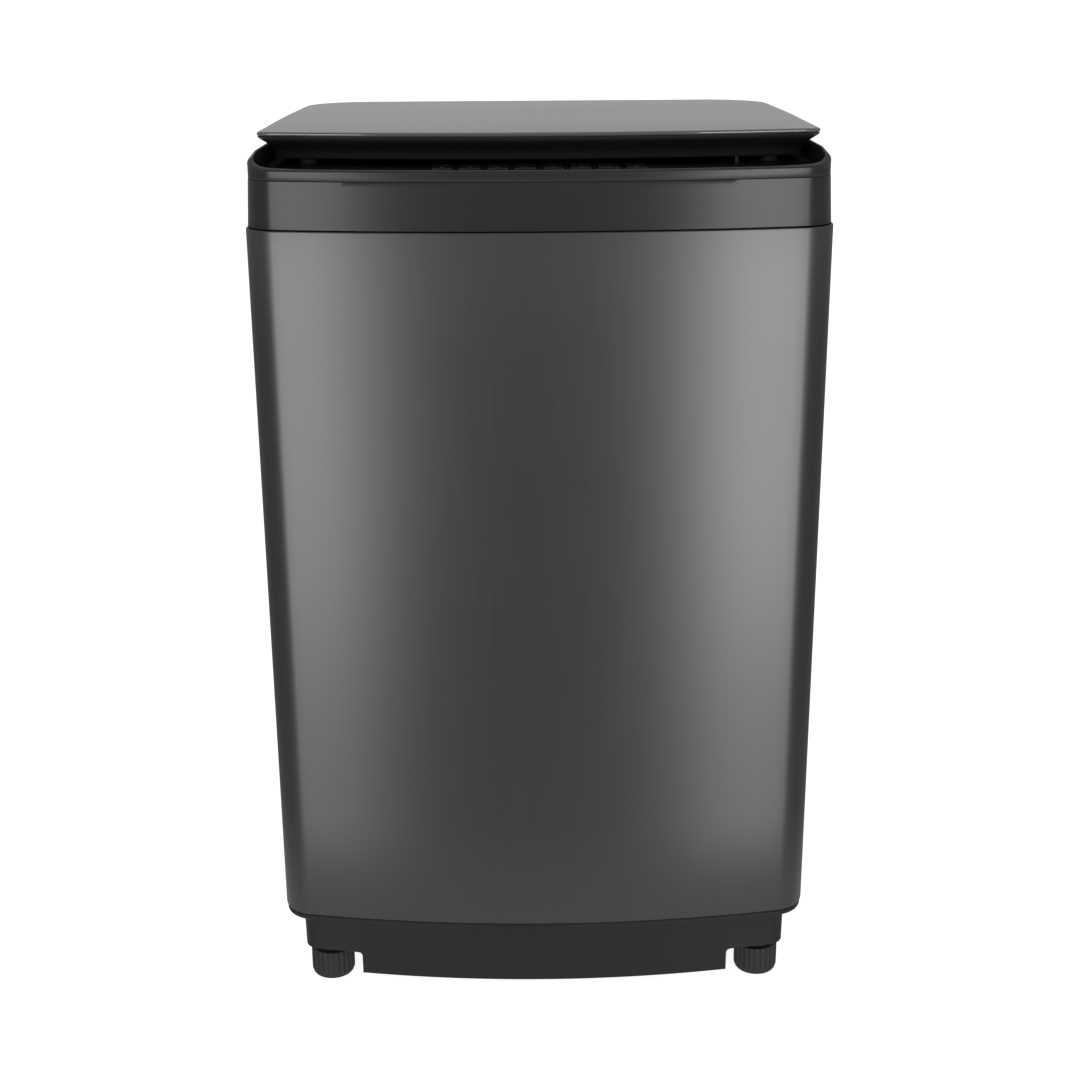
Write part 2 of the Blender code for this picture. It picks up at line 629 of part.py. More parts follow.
def make_lid():
    """A frame that sweeps in below its lip, with a glass on top, a liner inside, two hinge arms and a latch."""
    seat = HEIGHT - GLASS_THICK - GAP
    # Each line: height, how far the side is in from the lip, how far the front is in.
    sweep = [
        (LID_BOTTOM, 0.0110, LID_SWEEP),
        (HEIGHT - 0.0190, 0.0105, LID_SWEEP * 0.86),
        (HEIGHT - 0.0145, 0.0088, LID_SWEEP * 0.70),
        (HEIGHT - 0.0100, 0.0056, LID_SWEEP * 0.30),
        (HEIGHT - 0.0068, 0.0018, LID_SWEEP * 0.05),
        (seat, 0.0004, 0.0004),
        (seat, LID_RING, LID_RING),
        (LID_BOTTOM, LID_RING, LID_RING),
    ]
    frame = loft("lid_frame", [level(lid_outline(side, front), z) for z, side, front in sweep], PLASTIC_BLACK, closed=True)
    for side in (-1, 1):
        middle = side * HINGE_X
        arm = box("arm", (middle - HINGE_ARM / 2, LID_REAR - 0.030, HINGE_Z - 0.0050),
                  (middle + HINGE_ARM / 2, HINGE_Y, HINGE_Z + 0.0050), PLASTIC_BLACK)
        barrel = rod("barrel", (middle - HINGE_ARM / 2, HINGE_Y, HINGE_Z), (middle + HINGE_ARM / 2, HINGE_Y, HINGE_Z),
                     BARREL_RADIUS, PLASTIC_BLACK, 20)
        bore = rod("bore", (middle - HINGE_ARM, HINGE_Y, HINGE_Z), (middle + HINGE_ARM, HINGE_Y, HINGE_Z),
                   PIN_RADIUS + 0.0003, PLASTIC_BLACK)
        join(frame, arm, barrel, solver="MANIFOLD")
        cut(frame, bore, solver="MANIFOLD")
        name = "hinge_pin_left" if side < 0 else "hinge_pin_right"
        rod(name, (middle - PIN_HALF, HINGE_Y, HINGE_Z), (middle + PIN_HALF, HINGE_Y, HINGE_Z), PIN_RADIUS, ZINC, 12)
    glass = [(seat + GAP, 0.0002), (HEIGHT - 0.0010, 0.0), (HEIGHT, 0.0012)]
    loft("lid_glass", [level(lid_outline(inset, inset), z) for z, inset in glass], GLASS_GREY)
    liner = [(LID_BOTTOM + 0.0015, LID_RING + 0.0005), (LID_BOTTOM + 0.0075, LID_RING + 0.0005)]
    liner_loops = [level(lid_outline(inset, inset), z) for z, inset in liner]
    inner = [(LID_BOTTOM + 0.0075, LID_RING + 0.0030), (LID_BOTTOM + 0.0035, LID_RING + 0.0030)]
    liner_loops += [level(lid_outline(inset, inset), z) for z, inset in inner]
    loft("lid_liner", liner_loops, PLASTIC_GREY)
    latch = box("lid_latch", (LATCH_X - 0.0018, LATCH_Y - 0.0060, DECK - 0.0130), (LATCH_X + 0.0018, LATCH_Y + 0.0060, LID_BOTTOM - GAP), PLASTIC_BLACK, 0.0004)
    cut(latch, box("eye", (LATCH_X - 0.01, LATCH_Y - 0.0032, DECK - 0.0105), (LATCH_X + 0.01, LATCH_Y + 0.0032, DECK - 0.0045), PLASTIC_BLACK))


def make_lock():
    """The lid lock under the deck: a case with a slot for the latch, and a bolt that slides through the latch's eye."""
    low, high = DECK - 0.0260, DECK - DECK_THICK - GAP
    case = box("lid_lock", (LATCH_X - 0.0080, LATCH_Y - 0.0140, low), (LATCH_X + 0.0280, LATCH_Y + 0.0140, high), PLASTIC_WHITE, 0.0010)
    slot = box("slot", (LATCH_X - 0.0040, LATCH_Y - 0.0085, DECK - 0.0170), (LATCH_X + 0.0040, LATCH_Y + 0.0085, DECK), PLASTIC_WHITE)
    bolt_way = box("way", (LATCH_X - 0.0065, LATCH_Y - 0.0028, DECK - 0.0102), (LATCH_X + 0.0240, LATCH_Y + 0.0028, DECK - 0.0048), PLASTIC_WHITE)
    cut(case, slot, bolt_way)
    box("lock_bolt", (LATCH_X + 0.0045, LATCH_Y - 0.0024, DECK - 0.0098), (LATCH_X + 0.0220, LATCH_Y + 0.0024, DECK - 0.0052), ZINC, 0.0004)


# ---------------------------------------------------------------- detergent and water

def make_detergent():
    """A tray behind the mouth, which pulls forward out of its housing under the deck."""
    low = (-DRAWER_HALF - HOUSING_CLEAR - 0.002, 0.182, DRAWER_BOTTOM - 0.0055)
    high = (DRAWER_HALF + HOUSING_CLEAR + 0.002, DRAWER_BACK + 0.008, DECK - DECK_THICK - GAP)
    housing = box("detergent_housing", low, high, PLASTIC_WHITE)
    inside = box("inside", (low[0] + 0.002, low[1] - 0.02, low[2] + 0.002), (high[0] - 0.002, high[1] - 0.002, DRAWER_TOP + 0.0008), PLASTIC_WHITE)
    cut(housing, inside)
    tray = box("detergent_drawer", (-DRAWER_HALF, DRAWER_FRONT + 0.004, DRAWER_BOTTOM), (DRAWER_HALF, DRAWER_BACK, DRAWER_TOP), PLASTIC_BLACK)
    face = box("face", (-DRAWER_HALF - 0.004, DRAWER_FRONT, DRAWER_BOTTOM - 0.0015), (DRAWER_HALF + 0.004, DRAWER_FRONT + 0.005, DRAWER_TOP + 0.0006), PLASTIC_BLACK, 0.0010)
    join(tray, face)
    split = 0.030
    for x0, x1 in ((-DRAWER_HALF + 0.002, split - 0.001), (split + 0.001, DRAWER_HALF - 0.002)):
        cut(tray, box("well", (x0, DRAWER_FRONT + 0.006, DRAWER_BOTTOM + 0.002), (x1, DRAWER_BACK - 0.002, DRAWER_TOP + 0.01), PLASTIC_WHITE))
    cut(tray, rod("grip", (-0.022, DRAWER_FRONT - 0.0065, DRAWER_TOP - 0.012), (0.022, DRAWER_FRONT - 0.0065, DRAWER_TOP - 0.012), 0.0090, PLASTIC_GREY, 20))


def make_inlet_valve():
    """The water inlet: a valve body inside the top frame with a spigot through its back wall."""
    body = box("inlet_valve", (VALVE_X - 0.017, REAR - 0.0480, VALVE_Z - 0.015), (VALVE_X + 0.017, REAR - 0.0120, VALVE_Z + 0.015), PLASTIC_WHITE, 0.002)
    spigot = rod("spigot", (VALVE_X, REAR - 0.0200, VALVE_Z), (VALVE_X, REAR - 0.0012, VALVE_Z), 0.0130, PLASTIC_WHITE, 24)
    join(body, spigot)
    cut(body, rod("way", (VALVE_X, REAR - 0.0380, VALVE_Z), (VALVE_X, REAR + 0.01, VALVE_Z), 0.0085, PLASTIC_WHITE, 20))


def make_outlets():
    """The drain outlet and the cord gland in the rear panel."""
    outlet = rod("drain_outlet", (DRAIN_X, REAR - 0.0450, DRAIN_Z), (DRAIN_X, REAR - 0.0010, DRAIN_Z), 0.0190, PLASTIC_BLACK, 18)
    collar = rod("collar", (DRAIN_X, REAR - 0.0150, DRAIN_Z), (DRAIN_X, REAR - 0.0105, DRAIN_Z), 0.0280, PLASTIC_BLACK, 18)
    join(outlet, collar)
    cut(outlet, rod("way", (DRAIN_X, REAR - 0.06, DRAIN_Z), (DRAIN_X, REAR + 0.01, DRAIN_Z), 0.0155, PLASTIC_BLACK, 18))
    gland = rod("cord_gland", (CORD_X, REAR - 0.0220, CORD_Z), (CORD_X, REAR - 0.0010, CORD_Z), 0.0088, PLASTIC_BLACK, 16)
    flange = rod("flange", (CORD_X, REAR - 0.0150, CORD_Z), (CORD_X, REAR - 0.0105, CORD_Z), 0.0130, PLASTIC_BLACK, 16)
    join(gland, flange)
    cut(gland, rod("way", (CORD_X, REAR - 0.03, CORD_Z), (CORD_X, REAR + 0.01, CORD_Z), 0.0042, PLASTIC_BLACK, 12))


# ---------------------------------------------------------------- tub, basket and drive

def make_tub():
    """The outer tub with four lugs for the rods, and its cover ring."""
    tub = turned("outer_tub", [
        (TUB_HOLE, TUB_BOTTOM),
        (TUB_RADIUS - 0.025, TUB_BOTTOM),
        (TUB_RADIUS, TUB_BOTTOM + 0.022),
        (TUB_RADIUS, TUB_TOP),
        (TUB_RADIUS - WALL, TUB_TOP),
        (TUB_RADIUS - WALL, TUB_BOTTOM + 0.023),
        (TUB_RADIUS - 0.026, TUB_BOTTOM + 0.004),
        (TUB_HOLE, TUB_BOTTOM + 0.004),
    ], PLASTIC_WHITE, closed=True)
    reach = math.hypot(ROD_X, ROD_Y)
    for x, y in rod_places().values():
        angle = math.atan2(y, x)
        arm = box("arm", (TUB_RADIUS - 0.0025, -0.014, LUG_BOTTOM), (reach, 0.014, LUG_TOP), PLASTIC_WHITE)
        arm.data.transform(Matrix.Rotation(angle, 4, "Z"))
        eye = turned("eye", [(0.0210, LUG_BOTTOM), (0.0210, LUG_TOP)], PLASTIC_WHITE, 20, (x, y))
        join(tub, arm, eye)
        cut(tub, turned("bore", [(ROD_RADIUS + 0.0020, LUG_BOTTOM - 0.01), (ROD_RADIUS + 0.0020, LUG_TOP + 0.01)], PLASTIC_WHITE, 12, (x, y)))
    drain = rod("drain_way", (VALVE_BODY_X, VALVE_BODY_Y, TUB_BOTTOM - 0.01), (VALVE_BODY_X, VALVE_BODY_Y, TUB_BOTTOM + 0.01), 0.016, PLASTIC_WHITE, 16)
    cut(tub, drain)
    turned("tub_cover", [
        (TUB_RADIUS + 0.0040, TUB_TOP - 0.012),
        (TUB_RADIUS + 0.0040, TUB_TOP + 0.0045),
        (TUB_RADIUS - 0.0200, TUB_TOP + 0.0115),
        (0.1880, TUB_TOP + 0.0115),
        (0.1880, TUB_TOP + 0.0070),
        (TUB_RADIUS - 0.0200, TUB_TOP + 0.0070),
        (TUB_RADIUS + 0.0008, TUB_TOP + 0.0010),
        (TUB_RADIUS + 0.0008, TUB_TOP - 0.012),
    ], PLASTIC_WHITE, closed=True)


def make_basket():
    """The spin basket: a steel wall on a moulded base with a hub, a balance ring on top and two lint filters."""
    turned("basket_wall", [
        (BASKET_RADIUS, BASKET_BOTTOM + 0.006),
        (BASKET_RADIUS, BASKET_TOP),
        (BASKET_RADIUS - BASKET_WALL, BASKET_TOP),
        (BASKET_RADIUS - BASKET_WALL, BASKET_BOTTOM + 0.006),
    ], STAINLESS, closed=True)
    inside = BASKET_RADIUS - BASKET_WALL - 0.0010
    turned("basket_base", [
        (TUBE_RADIUS + GAP, BASKET_BOTTOM - 0.010),
        (0.045, BASKET_BOTTOM - 0.010),
        (0.060, BASKET_BOTTOM - 0.002),
        (BASKET_RADIUS - 0.012, BASKET_BOTTOM - 0.002),
        (BASKET_RADIUS, BASKET_BOTTOM + 0.0056),
        (inside, BASKET_BOTTOM + 0.0056),
        (inside, BASKET_BOTTOM + 0.030),
        (inside - 0.003, BASKET_BOTTOM + 0.030),
        (inside - 0.006, BASKET_BOTTOM + 0.018),
        (PULSATOR_RADIUS + 0.018, BASKET_BOTTOM + 0.012),
        (PULSATOR_RADIUS + 0.008, BASKET_BOTTOM + 0.003),
        (TUBE_RADIUS + GAP, BASKET_BOTTOM + 0.003),
    ], PLASTIC_WHITE, closed=True)
    turned("balance_ring", [
        (BASKET_RADIUS + 0.0045, BASKET_TOP - 0.010),
        (BASKET_RADIUS + 0.0045, RING_TOP - 0.006),
        (BASKET_RADIUS - 0.002, RING_TOP),
        (RING_INNER + 0.006, RING_TOP),
        (RING_INNER, RING_TOP - 0.008),
        (RING_INNER, RING_BOTTOM + 0.006),
        (RING_INNER + 0.008, RING_BOTTOM),
        (inside, RING_BOTTOM),
        (inside, BASKET_TOP + 0.0006),
        (BASKET_RADIUS + 0.0012, BASKET_TOP + 0.0006),
        (BASKET_RADIUS + 0.0012, BASKET_TOP - 0.010),
    ], PLASTIC_GREY, closed=True)
    for side, name in ((-1, "lint_filter_left"), (1, "lint_filter_right")):
        x = side * (inside - 0.0025)
        low = (min(x, x - side * 0.018), -0.050, BASKET_BOTTOM + 0.075)
        high = (max(x, x - side * 0.018), 0.050, BASKET_BOTTOM + 0.240)
        filt = box(name, low, high, PLASTIC_GREY, 0.004)
        barrel = turned("barrel", [(inside - 0.0010, 0.0), (inside - 0.0010, 1.0)], PLASTIC_GREY)
        boolean(filt, barrel, "INTERSECT")
    turned("spin_tube", [
        (TUBE_RADIUS, GEARBOX_BOTTOM + 0.030),
        (TUBE_RADIUS, BASKET_BOTTOM + 0.0030),
        (SHAFT_RADIUS + 0.0012, BASKET_BOTTOM + 0.0030),
        (SHAFT_RADIUS + 0.0012, GEARBOX_BOTTOM + 0.030),
    ], STAINLESS, 20, closed=True)


def make_pulsator():
    """The wash plate: a dished disc with four swept vanes and a domed cap, on the inner shaft."""
    plate = turned("pulsator", [
        (SHAFT_RADIUS + GAP, PULSATOR_BOTTOM),
        (PULSATOR_RADIUS - 0.003, PULSATOR_BOTTOM),
        (PULSATOR_RADIUS, PULSATOR_BOTTOM + 0.004),
        (PULSATOR_RADIUS - 0.004, PULSATOR_BOTTOM + 0.010),
        (0.110, PULSATOR_BOTTOM + 0.0065),
        (0.052, PULSATOR_BOTTOM + 0.013),
        (0.034, PULSATOR_BOTTOM + 0.034),
        (0.016, PULSATOR_BOTTOM + 0.043),
        (SHAFT_RADIUS + GAP, PULSATOR_BOTTOM + 0.044),
    ], PLASTIC_GREY, closed=True)
    for quarter in range(4):
        steps = 5
        left, right = [], []
        for i in range(steps):
            t = i / (steps - 1)
            radius = 0.030 + t * (PULSATOR_RADIUS - 0.042)
            angle = quarter * math.pi / 2 + 0.55 * t
            width = 0.006 + 0.008 * math.sin(math.pi * t)
            along = Vector((math.cos(angle), math.sin(angle)))
            across = Vector((-along.y, along.x))
            left.append(tuple(along * radius + across * width))
            right.append(tuple(along * radius - across * width))
        outline = left + right[::-1]
        middle = Vector([sum(p[k] for p in outline) / len(outline) for k in (0, 1)])
        narrow = [tuple(middle + (Vector(p) - middle) * 0.80) for p in outline]
        vane = loft("vane", [level(outline, PULSATOR_BOTTOM + 0.003), level(narrow, PULSATOR_BOTTOM + 0.030)], PLASTIC_GREY)
        join(plate, vane)
    turned("wash_shaft", [(SHAFT_RADIUS, GEARBOX_BOTTOM + 0.034), (SHAFT_RADIUS, PULSATOR_BOTTOM + 0.040)], STAINLESS, 16)


def belt_outline(offset):
    """The belt's path round both pulleys, moved out by offset: two arcs joined by tangents."""
    big, small = BIG_PULLEY + offset, SMALL_PULLEY + offset
    lean = math.degrees(math.asin((big - small) / MOTOR_Y))
    rear = corner_arc((0, MOTOR_Y), small, lean, 180 - lean, 8)
    front = corner_arc((0, 0), big, 180 - lean, 360 + lean, 18)
    return rear + front


def make_drive():
    """The gearbox under the tub, the motor beside it on a plate, and the pulleys and belt between them."""
    turned("gearbox_housing", [
        (0.0200, GEARBOX_BOTTOM),
        (0.040, GEARBOX_BOTTOM),
        (GEARBOX_RADIUS, GEARBOX_BOTTOM + 0.010),
        (GEARBOX_RADIUS, PLATE_BOTTOM - 0.012),
        (0.040, PLATE_BOTTOM - GAP),
        (TUB_HOLE - 0.002, PLATE_BOTTOM - GAP),
        (TUB_HOLE - 0.002, TUB_BOTTOM + 0.012),
        (0.0200, TUB_BOTTOM + 0.012),
    ], CASTING, 20, closed=True)
    plate = box("motor_plate", (-0.150, -0.080, PLATE_BOTTOM), (0.150, 0.222, PLATE_BOTTOM + PLATE_THICK), ZINC)
    disc = turned("disc", [(0.242, PLATE_BOTTOM - 0.01), (0.242, PLATE_BOTTOM + 0.01)], ZINC)
    boolean(plate, disc, "INTERSECT")
    shoulder = turned("shoulder", [(TUB_HOLE, PLATE_BOTTOM - 0.01), (TUB_HOLE, PLATE_BOTTOM + 0.01)], ZINC, 20)
    windows = [
        box("window", (x0, 0.045, PLATE_BOTTOM - 0.01), (x1, 0.145, PLATE_BOTTOM + 0.01), ZINC)
        for x0, x1 in ((-0.132, -0.072), (0.072, 0.132))
    ]
    valve_room = box("valve_room", (-0.20, -0.10, PLATE_BOTTOM - 0.01), (-0.085, 0.020, PLATE_BOTTOM + 0.01), ZINC)
    cut(plate, shoulder, *windows, valve_room)
    for place in ((0.125, -0.055), (0.125, 0.165), (-0.125, 0.165), (-0.070, -0.062)):
        stand = turned("stand", [(0.011, PLATE_BOTTOM + 0.001), (0.011, TUB_BOTTOM - GAP)], ZINC, 12, place)
        join(plate, stand)
    turned("motor", [
        (0.008, MOTOR_BOTTOM - 0.012),
        (0.022, MOTOR_BOTTOM - 0.008),
        (0.030, MOTOR_BOTTOM),
        (MOTOR_RADIUS, MOTOR_BOTTOM + 0.006),
        (MOTOR_RADIUS, PLATE_BOTTOM - 0.004),
        (MOTOR_RADIUS - 0.004, PLATE_BOTTOM - GAP),
    ], CASTING, 20, (0, MOTOR_Y))
    half = BELT_HEIGHT / 2
    for name, radius, y, core, top in (
        ("clutch_pulley", BIG_PULLEY, 0.0, 0.012, GEARBOX_BOTTOM + 0.028),
        ("motor_pulley", SMALL_PULLEY, MOTOR_Y, 0.006, MOTOR_BOTTOM - 0.0125),
    ):
        rim = radius + BELT_THICK + 0.0015
        turned(name, [
            (core, BELT_Z - half - 0.004),
            (rim - 0.001, BELT_Z - half - 0.004),
            (rim, BELT_Z - half - 0.0018),
            (radius - GAP, BELT_Z - half + 0.0006),
            (radius - GAP, BELT_Z + half - 0.0006),
            (rim, BELT_Z + half + 0.0018),
            (rim - 0.001, BELT_Z + half + 0.004),
            (core + 0.004, BELT_Z + half + 0.004),
            (core, BELT_Z + half + 0.006),
            (core, top),
        ], CASTING, 20, (0, y))
    inner, outer = belt_outline(GAP), belt_outline(BELT_THICK)
    loft("drive_belt", [
        level(inner, BELT_Z - half + 0.0016),
        level(outer, BELT_Z - half + 0.0004),
        level(outer, BELT_Z + half - 0.0004),
        level(inner, BELT_Z + half - 0.0016),
    ], RUBBER, closed=True)


def make_drain():
    """The drain valve under the tub, and the actuator that opens it."""
    x, y = VALVE_BODY_X, VALVE_BODY_Y
    valve = turned("drain_valve", [(0.026, TUB_BOTTOM - 0.062), (0.026, TUB_BOTTOM - GAP)], PLASTIC_WHITE, 20, (x, y))
    branch = rod("branch", (x, y, TUB_BOTTOM - 0.040), (x, y + 0.045, TUB_BOTTOM - 0.040), 0.0150, PLASTIC_WHITE, 16)
    join(valve, branch)
    way = rod("way", (x, y, TUB_BOTTOM - 0.040), (x, y + 0.06, TUB_BOTTOM - 0.040), 0.0120, PLASTIC_WHITE, 16)
    down = turned("down", [(0.0150, TUB_BOTTOM - 0.052), (0.0150, TUB_BOTTOM + 0.01)], PLASTIC_WHITE, 16, (x, y))
    cut(valve, way, down)
    box("drain_actuator", (x - 0.026, y - 0.092, TUB_BOTTOM - 0.060), (x + 0.026, y - 0.030, TUB_BOTTOM - GAP), PLASTIC_BLACK, 0.003)


def rod_places():
    return {
        "front_left": (-ROD_X, -ROD_Y),
        "front_right": (ROD_X, -ROD_Y),
        "rear_left": (-ROD_X, ROD_Y),
        "rear_right": (ROD_X, ROD_Y),
    }


def make_suspension():
    """Four rods hang from the cabinet's upper corners. The tub's lugs slide on them, each on a spring in a cup."""
    for corner, (x, y) in rod_places().items():
        turned(f"suspension_rod_{corner}", [
            (0.008, CUP_BOTTOM - 0.006),
            (0.008, CUP_BOTTOM),
            (CUP_RADIUS, CUP_BOTTOM),
            (CUP_RADIUS, CUP_TOP),
            (CUP_RADIUS - 0.0020, CUP_TOP),
            (CUP_RADIUS - 0.0020, CUP_BOTTOM + 0.003),
            (ROD_RADIUS, CUP_BOTTOM + 0.003),
            (ROD_RADIUS, RING_Z + 0.0005),
            (0.010, RING_Z + 0.0005),
            (0.012, ROD_TOP - 0.004),
            (0.008, ROD_TOP),
        ], ZINC, 10, (x, y))
        low = CUP_BOTTOM + 0.003 + GAP + SPRING_WIRE
        high = LUG_BOTTOM - GAP - SPRING_WIRE
        steps = SPRING_TURNS * 8
        coil = []
        for i in range(steps + 1):
            angle = 2 * math.pi * i / 8
            coil.append((x + SPRING_RADIUS * math.cos(angle), y + SPRING_RADIUS * math.sin(angle), low + (high - low) * i / steps))
        tube_along(f"suspension_spring_{corner}", coil, SPRING_WIRE, ZINC, 0)


def main():
    for obj in list(bpy.data.objects):
        bpy.data.objects.remove(obj)
    make_cabinet()
    make_rear_panel()
    make_base()
    make_feet()
    make_trim_band()
    make_top_frame()
    make_controls()
    make_bumpers()
    make_lid()
    make_lock()
    make_detergent()
    make_inlet_valve()
    make_outlets()
    make_tub()
    make_basket()
    make_pulsator()
    make_drive()
    make_drain()
    make_suspension()


main()
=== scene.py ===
"""Top load washing machine: the outer surfaces and the inner works, built round the fixed frame as an add-on.

Run as a script it registers its operators, calls them in order, and so builds the whole machine with its stage.
Metres, +Z up, the bowed front faces -Y. Every finished piece keeps its place in its mesh.
"""

import math

import bmesh
import bpy
from bpy.props import FloatProperty, FloatVectorProperty, IntProperty, PointerProperty
from mathutils import Matrix, Vector


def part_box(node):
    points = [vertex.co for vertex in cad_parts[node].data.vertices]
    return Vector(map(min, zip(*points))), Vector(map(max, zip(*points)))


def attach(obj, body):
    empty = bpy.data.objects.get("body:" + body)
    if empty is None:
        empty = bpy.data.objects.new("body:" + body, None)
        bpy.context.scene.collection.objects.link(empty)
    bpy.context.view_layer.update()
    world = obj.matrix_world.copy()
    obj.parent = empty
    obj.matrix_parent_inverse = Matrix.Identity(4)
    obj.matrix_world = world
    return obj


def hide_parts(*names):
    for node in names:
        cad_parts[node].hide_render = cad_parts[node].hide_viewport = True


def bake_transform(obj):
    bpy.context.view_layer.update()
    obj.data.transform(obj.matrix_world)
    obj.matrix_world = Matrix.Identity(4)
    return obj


bl_info = {
    "name": "Top Load Washing Machine",
    "version": (1, 0, 0),
    "blender": (4, 5, 0),
    "location": "3D View > Sidebar > Washer",
    "description": "Builds the casing, lid, keys, tub, basket and drive of a top load washing machine",
    "category": "Add Mesh",
}

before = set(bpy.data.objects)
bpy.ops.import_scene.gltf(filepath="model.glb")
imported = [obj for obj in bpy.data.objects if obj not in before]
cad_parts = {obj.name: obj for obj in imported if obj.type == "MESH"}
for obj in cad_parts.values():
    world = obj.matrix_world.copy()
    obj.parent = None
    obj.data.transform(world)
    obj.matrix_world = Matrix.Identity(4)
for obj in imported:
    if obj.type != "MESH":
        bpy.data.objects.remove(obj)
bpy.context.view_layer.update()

# ---------------------------------------------------------------- sizes read from the frame


def corners(node):
    """The lowest and highest corner of a frame node, as two Vectors."""
    low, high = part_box(node)
    return Vector(low), Vector(high)


WRAP_LOW, WRAP_HIGH = corners("cabinet_shell")
BAND_LOW, BAND_HIGH = corners("trim_band")
TOP_LOW, TOP_HIGH = corners("top_frame")
BASE_LOW, BASE_HIGH = corners("base_frame")
PANEL_LOW, PANEL_HIGH = corners("control_panel")
GLASS_LOW, GLASS_HIGH = corners("lid_glass")
LID_LOW, LID_HIGH = corners("lid_frame")
BACK_LOW, BACK_HIGH = corners("rear_panel")
DRUM_LOW, DRUM_HIGH = corners("basket_wall")
TUB_LOW, TUB_HIGH = corners("outer_tub")
PLATE_LOW, PLATE_HIGH = corners("pulsator")

HALF = WRAP_HIGH.x - 0.0012
REAR = TOP_HIGH.y
BOW = 0.030
FRONT = WRAP_LOW.y + BOW  # the straight line through the two front corners
CORNER = 0.037
REAR_CORNER = 0.006
LID_HALF = GLASS_HIGH.x + 0.0003
RIM_FRONT = 0.9430  # the rim across the front, where the keys are reached
ROD_TOP = 0.8525  # the ring that the suspension rods hang from
MOUTH_Y = -0.004
DECK = PANEL_LOW.z - 0.0004
LID_TOP = GLASS_HIGH.z


# ---------------------------------------------------------------- settings


class WasherSizes(bpy.types.PropertyGroup):
    """Sizes of the surfaces that a user may want to change."""

    rim_round: FloatProperty(
        name="Rim Rounding", description="Radius of the top frame's outer edge", default=0.0072,
        unit="LENGTH"
    )
    front_round: FloatProperty(
        name="Front Rounding", description="Radius of the rim's edge across the front", default=0.0022,
        unit="LENGTH"
    )
    band_step: FloatProperty(
        name="Band Step", description="How far the trim band's foot is set in from the cabinet",
        default=0.0024, unit="LENGTH"
    )
    band_lean: FloatProperty(
        name="Band Lean", description="How far the trim band leans in over its height", default=0.0026,
        unit="LENGTH"
    )
    key_edge: FloatProperty(
        name="Key Edge", description="Rounding of a key's upper edge", default=0.0009, unit="LENGTH"
    )
    hole_columns: IntProperty(
        name="Hole Columns", description="Columns of holes round the basket", default=72, min=12
    )
    hole_rows: IntProperty(name="Hole Rows", description="Rows of holes up the basket", default=20, min=4)
    hole_radius: FloatProperty(
        name="Hole Radius", description="Radius of one hole in the basket", default=0.0021, unit="LENGTH"
    )
    foot_flutes: IntProperty(name="Foot Flutes", description="Grooves round a levelling foot", default=26,
                             min=8)
    spring_turns: IntProperty(name="Spring Turns", description="Turns of a suspension spring", default=11,
                              min=4)
    vane_count: IntProperty(name="Vanes", description="Vanes on the wash plate", default=4, min=2)


class WasherColours(bpy.types.PropertyGroup):
    """Base colours of the main finishes."""

    wrap: FloatVectorProperty(
        name="Cabinet", description="Coated steel of the cabinet", subtype="COLOR",
        default=(0.115, 0.115, 0.1165)
    )
    band: FloatVectorProperty(
        name="Trim Band", description="Trim band under the top frame", subtype="COLOR",
        default=(0.0190, 0.0183, 0.0170)
    )
    frame_black: FloatVectorProperty(
        name="Black Plastic", description="Top frame, lid frame and base", subtype="COLOR",
        default=(0.0100, 0.0100, 0.0098)
    )
    glass: FloatVectorProperty(
        name="Lid Glass", description="Grey-backed glass of the lid", subtype="COLOR",
        default=(0.125, 0.125, 0.128)
    )
    foot: FloatVectorProperty(
        name="Foot", description="Levelling feet", subtype="COLOR", default=(0.022, 0.023, 0.024)
    )
    white: FloatVectorProperty(
        name="White Plastic", description="Tub, housings and drawer", subtype="COLOR",
        default=(0.66, 0.665, 0.66)
    )
    grey: FloatVectorProperty(
        name="Grey Plastic", description="Balance ring, wash plate and liner", subtype="COLOR",
        default=(0.30, 0.31, 0.32)
    )


# ---------------------------------------------------------------- finishes


def shader_graph(name):
    """A new material with its node tree, its Principled shader and a helper that adds and links nodes."""
    made = bpy.data.materials.new(name)
    made.use_nodes = True
    tree = made.node_tree
    shader = tree.nodes["Principled BSDF"]

    def add(kind, links=(), **values):
        node = tree.nodes.new(kind)
        for key, value in values.items():
            setattr(node, key, value)
        for socket, source in links:
            tree.links.new(source, node.inputs[socket])
        return node

    return made, tree, shader, add


